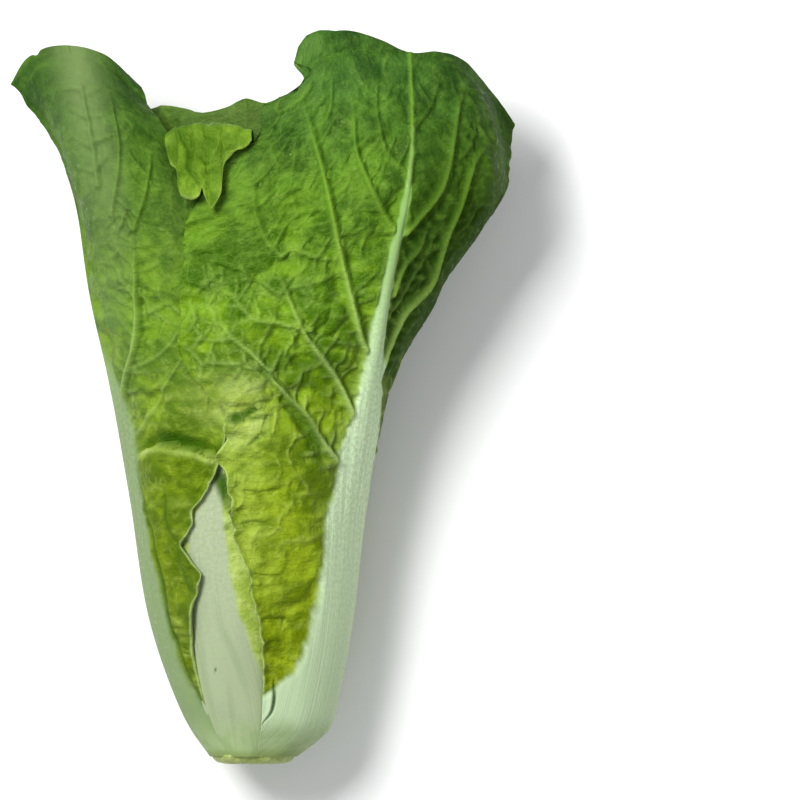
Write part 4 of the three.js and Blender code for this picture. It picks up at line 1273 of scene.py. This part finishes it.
INNER_LEAVES = {
    "inner_leaf_front": dict(facing=106, top=182, lean=0.02, rib=4.2, pale=0.1, shoulder=4,
                             depth=(0.6, 0.64, 0.58, 0.56, 0.58), reach=(44, 44, 41, 51, 58)),
    "second_leaf_right": dict(facing=-35, top=178, lean=0.08, rib=4.4, pale=0.0,
                              depth=(0.6, 0.68, 0.76, 0.82, 0.84), reach=(50, 50, 62, 72, 62)),
    "second_leaf_left": dict(facing=207, top=179, lean=0.08, rib=4.4, pale=0.0,
                             depth=(0.6, 0.68, 0.74, 0.8, 0.8), reach=(50, 50, 52, 58, 54)),
    "inner_leaf_right": dict(facing=-4, top=174, lean=0.02, rib=3.6, pale=0.15,
                             depth=(0.36, 0.46, 0.58, 0.68, 0.7), reach=(40, 36, 40, 58, 52)),
    "inner_leaf_left": dict(facing=198, top=172, lean=-0.01, rib=3.6, pale=0.15,
                            depth=(0.36, 0.46, 0.58, 0.68, 0.68), reach=(40, 40, 46, 56, 50)),
    "inner_leaf_back": dict(facing=-84, top=168, lean=0.02, rib=3.4, pale=0.3,
                            depth=(0.36, 0.46, 0.5, 0.52, 0.5), reach=(34, 34, 36, 54, 50)),
    "inner_leaf_middle": dict(facing=86, top=169, lean=0.02, rib=3.4, pale=0.3,
                              depth=(0.36, 0.44, 0.42, 0.4, 0.38), reach=(34, 34, 44, 58, 50)),
    "heart_leaf_front": dict(facing=100, top=158, lean=0.02, rib=2.6, pale=0.5,
                             depth=(0.19, 0.27, 0.25, 0.25, 0.24), reach=(60, 60, 64, 68, 60)),
    "heart_leaf_back": dict(facing=-76, top=152, lean=0.02, rib=2.6, pale=0.6,
                            depth=(0.19, 0.27, 0.28, 0.32, 0.3), reach=(60, 60, 64, 66, 60)),
}


def inner_lines(shape):
    """The five lines of an inner leaf from its direction, depth and reach."""
    lines = {}
    stations = np.linspace(0, 1, 7)
    depth = np.interp(stations, np.linspace(0, 1, 5), shape["depth"])
    reach = np.interp(stations, np.linspace(0, 1, 5), shape["reach"])
    for place, name in enumerate(LINES_ACROSS):
        side = 1 - place / 2
        drop = shape.get("shoulder", SHOULDER) * (side * stations) ** 2
        y = INNER_FOOT + (shape["top"] - INNER_FOOT) * stations - drop
        angle = np.radians(shape["facing"] + side * reach)
        out = depth + shape["lean"] * side * stations
        x = np.interp(y, SECTION_Y, SECTION_CENTRE_X)
        x = x + np.interp(y, SECTION_Y, SECTION_HALF_X) * out * np.cos(angle)
        z = np.interp(y, SECTION_Y, SECTION_CENTRE_Z)
        z = z + np.interp(y, SECTION_Y, SECTION_HALF_Z) * out * np.sin(angle)
        lines[name] = list(zip(x, y, z))
    return lines


FRONT_TIP_WAVES = ((0, 1.7), (0.035, 1.5), (0.195, -1.5), (0.29, -3.5), (0.35, -3.5),
                   (0.425, -2.5), (0.475, -1), (0.51, -0.4), (0.57, -1.5), (0.65, -1.2), (1, 0))
TIP_WAVES = ((0, 0.3), (0.12, 1.2), (0.28, -1), (0.4, -0.6), (0.55, 0.4), (0.7, -0.5), (0.85, 0.6),
             (1, 0))
for number, (name, shape) in enumerate(INNER_LEAVES.items()):
    outermost = name == "inner_leaf_front"
    inner = Leaf(
        inner_lines(shape), columns=112, rows=152, seed=91 + number,
        tip_margin=FRONT_TIP_WAVES if outermost else TIP_WAVES,
        left_margin=((20, 0), (150, 0), (165, 2), (175, 4.5), (190, 4.5)) if outermost else None,
    )
    veins = side_veins(inner, first=45, last=0.9 * inner.t[-1, 0], count=7, seed=91 + number)
    relief = leaf_relief(
        inner, veins,
        petiole=((24, 8, 8), (50, 8, 8), (75, 6, 6), (100, 3, 3), (130, 1.5, 1.5), (150, 0.8, 0.8),
                 (182, 0.5, 0.5)),
        seed=91 + 17 * number, crinkle=((0, 0.4), (200, 0.45)), quilt_size=5.5, rib_rise=0.6,
    )
    relief["young"] = np.full(inner.shape, shape["pale"])
    if outermost:
        relief["young"] = 0.1 + 0.3 * smooth_step(150, 172, inner.y)
        relief["pale"] = 0.04 * smooth_step(160, 178, inner.y)
        # A touch of the painted sheen on this leaf's top.
        relief["painted_sheen"] = 0.15 * smooth_step(160, 178, inner.y)
    relief["rib"] = relief["rib"] * smooth_step(175, 150, inner.y)
    piece = close_leaf(
        name + "_skin", inner, relief,
        thickness=((24, shape["rib"] * 0.8), (60, shape["rib"]), (100, shape["rib"] * 0.7),
                   (140, 1.2), (180, 0.6)),
    )
    piece.data.materials.append(front_skin if shape["pale"] else outer_skin)
    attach(piece, "root")
    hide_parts(name)


# ------------------------------------------------------------------------------------------------
# The butt, the short stem base that every leaf grows from. It is firm fibrous stem, faintly lobed
# all round, and its lower end is the flat, slightly stained face left by the knife.
# ------------------------------------------------------------------------------------------------
BUTT_PROFILE = (
    (0.0, 0.1), (3.0, 0.1), (6.0, 0.15), (8.6, 0.3), (10.0, 0.8), (10.8, 1.6), (11.2, 2.6),
    (10.4, 3.8), (8.0, 4.6), (6.4, 6.2), (6.2, 9.0), (9.5, 16.0), (12.0, 22.0), (11.2, 23.8),
    (6.0, 24.0), (0.0, 24.0),
)
butt_outline = smooth_path(BUTT_PROFILE, 4)
BUTT_SIDES = 96
LEAST_RADIUS = 0.05
FACE_HEIGHT = 0.5          # below this the stem is the cut face
ring_points = []
for radius, height in butt_outline[1:-1]:
    for step in range(BUTT_SIDES):
        angle = 2 * math.pi * step / BUTT_SIDES
        wide = max(radius, LEAST_RADIUS)
        lobe = 1 + 0.035 * math.sin(3 * angle + 0.6) + 0.02 * math.sin(7 * angle)
        rough = 0.12 * math.sin(5 * angle + radius * 2.1) * math.sin(radius * 1.7)
        flat_face = 1.0 if height < FACE_HEIGHT else 0.0
        ring_points.append((
            wide * lobe * math.cos(angle),
            height + rough * flat_face,
            AXIS_HEIGHT + wide * lobe * math.sin(angle),
        ))
rings = len(butt_outline) - 2
butt_points = [(0, butt_outline[0][1], AXIS_HEIGHT)] + ring_points
butt_points.append((0, butt_outline[-1][1], AXIS_HEIGHT))
butt_faces = []
for step in range(BUTT_SIDES):
    following = (step + 1) % BUTT_SIDES
    butt_faces.append((0, 1 + step, 1 + following))
    for ring in range(rings - 1):
        here, there = 1 + ring * BUTT_SIDES, 1 + (ring + 1) * BUTT_SIDES
        butt_faces.append((here + step, there + step, there + following, here + following))
    last = 1 + (rings - 1) * BUTT_SIDES
    butt_faces.append((last + following, last + step, len(butt_points) - 1))
butt_mesh = bpy.data.meshes.new("butt_skin")
butt_mesh.from_pydata([tuple(np.array(point) * MM + HEAD_PLACE) for point in butt_points], [],
                      butt_faces)
butt_mesh.polygons.foreach_set("use_smooth", [True] * len(butt_mesh.polygons))
butt = bpy.data.objects.new("butt_skin", butt_mesh)
bpy.context.scene.collection.objects.link(butt)

STEM_DARK = (0.26, 0.33, 0.065)
STEM_LIGHT = (0.38, 0.46, 0.15)
STEM_STAIN = (0.25, 0.24, 0.07)
STEM_ROUGHNESS = 0.62
FIBRE_DEPTH = 0.0006
cut = Shader("cut_stem")
around = cut.node("ShaderNodeTexCoord").outputs["Object"]
fibre = cut.noise(cut.stretch(around, (1.0, 0.2, 1.0)), 900.0, 4.0)
stain = cut.noise(around, 260.0, 3.0)
stem_colour = cut.mix(cut.span(fibre, 0.35, 0.7), STEM_DARK, STEM_LIGHT)
stem_colour = cut.mix(cut.times(cut.span(stain, 0.5, 0.7), 0.6), stem_colour, STEM_STAIN)
cut.feed(cut.surface.inputs["Base Color"], stem_colour)
cut.surface.inputs["Roughness"].default_value = STEM_ROUGHNESS
cut.feed(cut.surface.inputs["Normal"], cut.bump(fibre, FIBRE_DEPTH, 0.7))
butt.data.materials.append(cut.material)
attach(butt, "root")
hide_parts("butt")
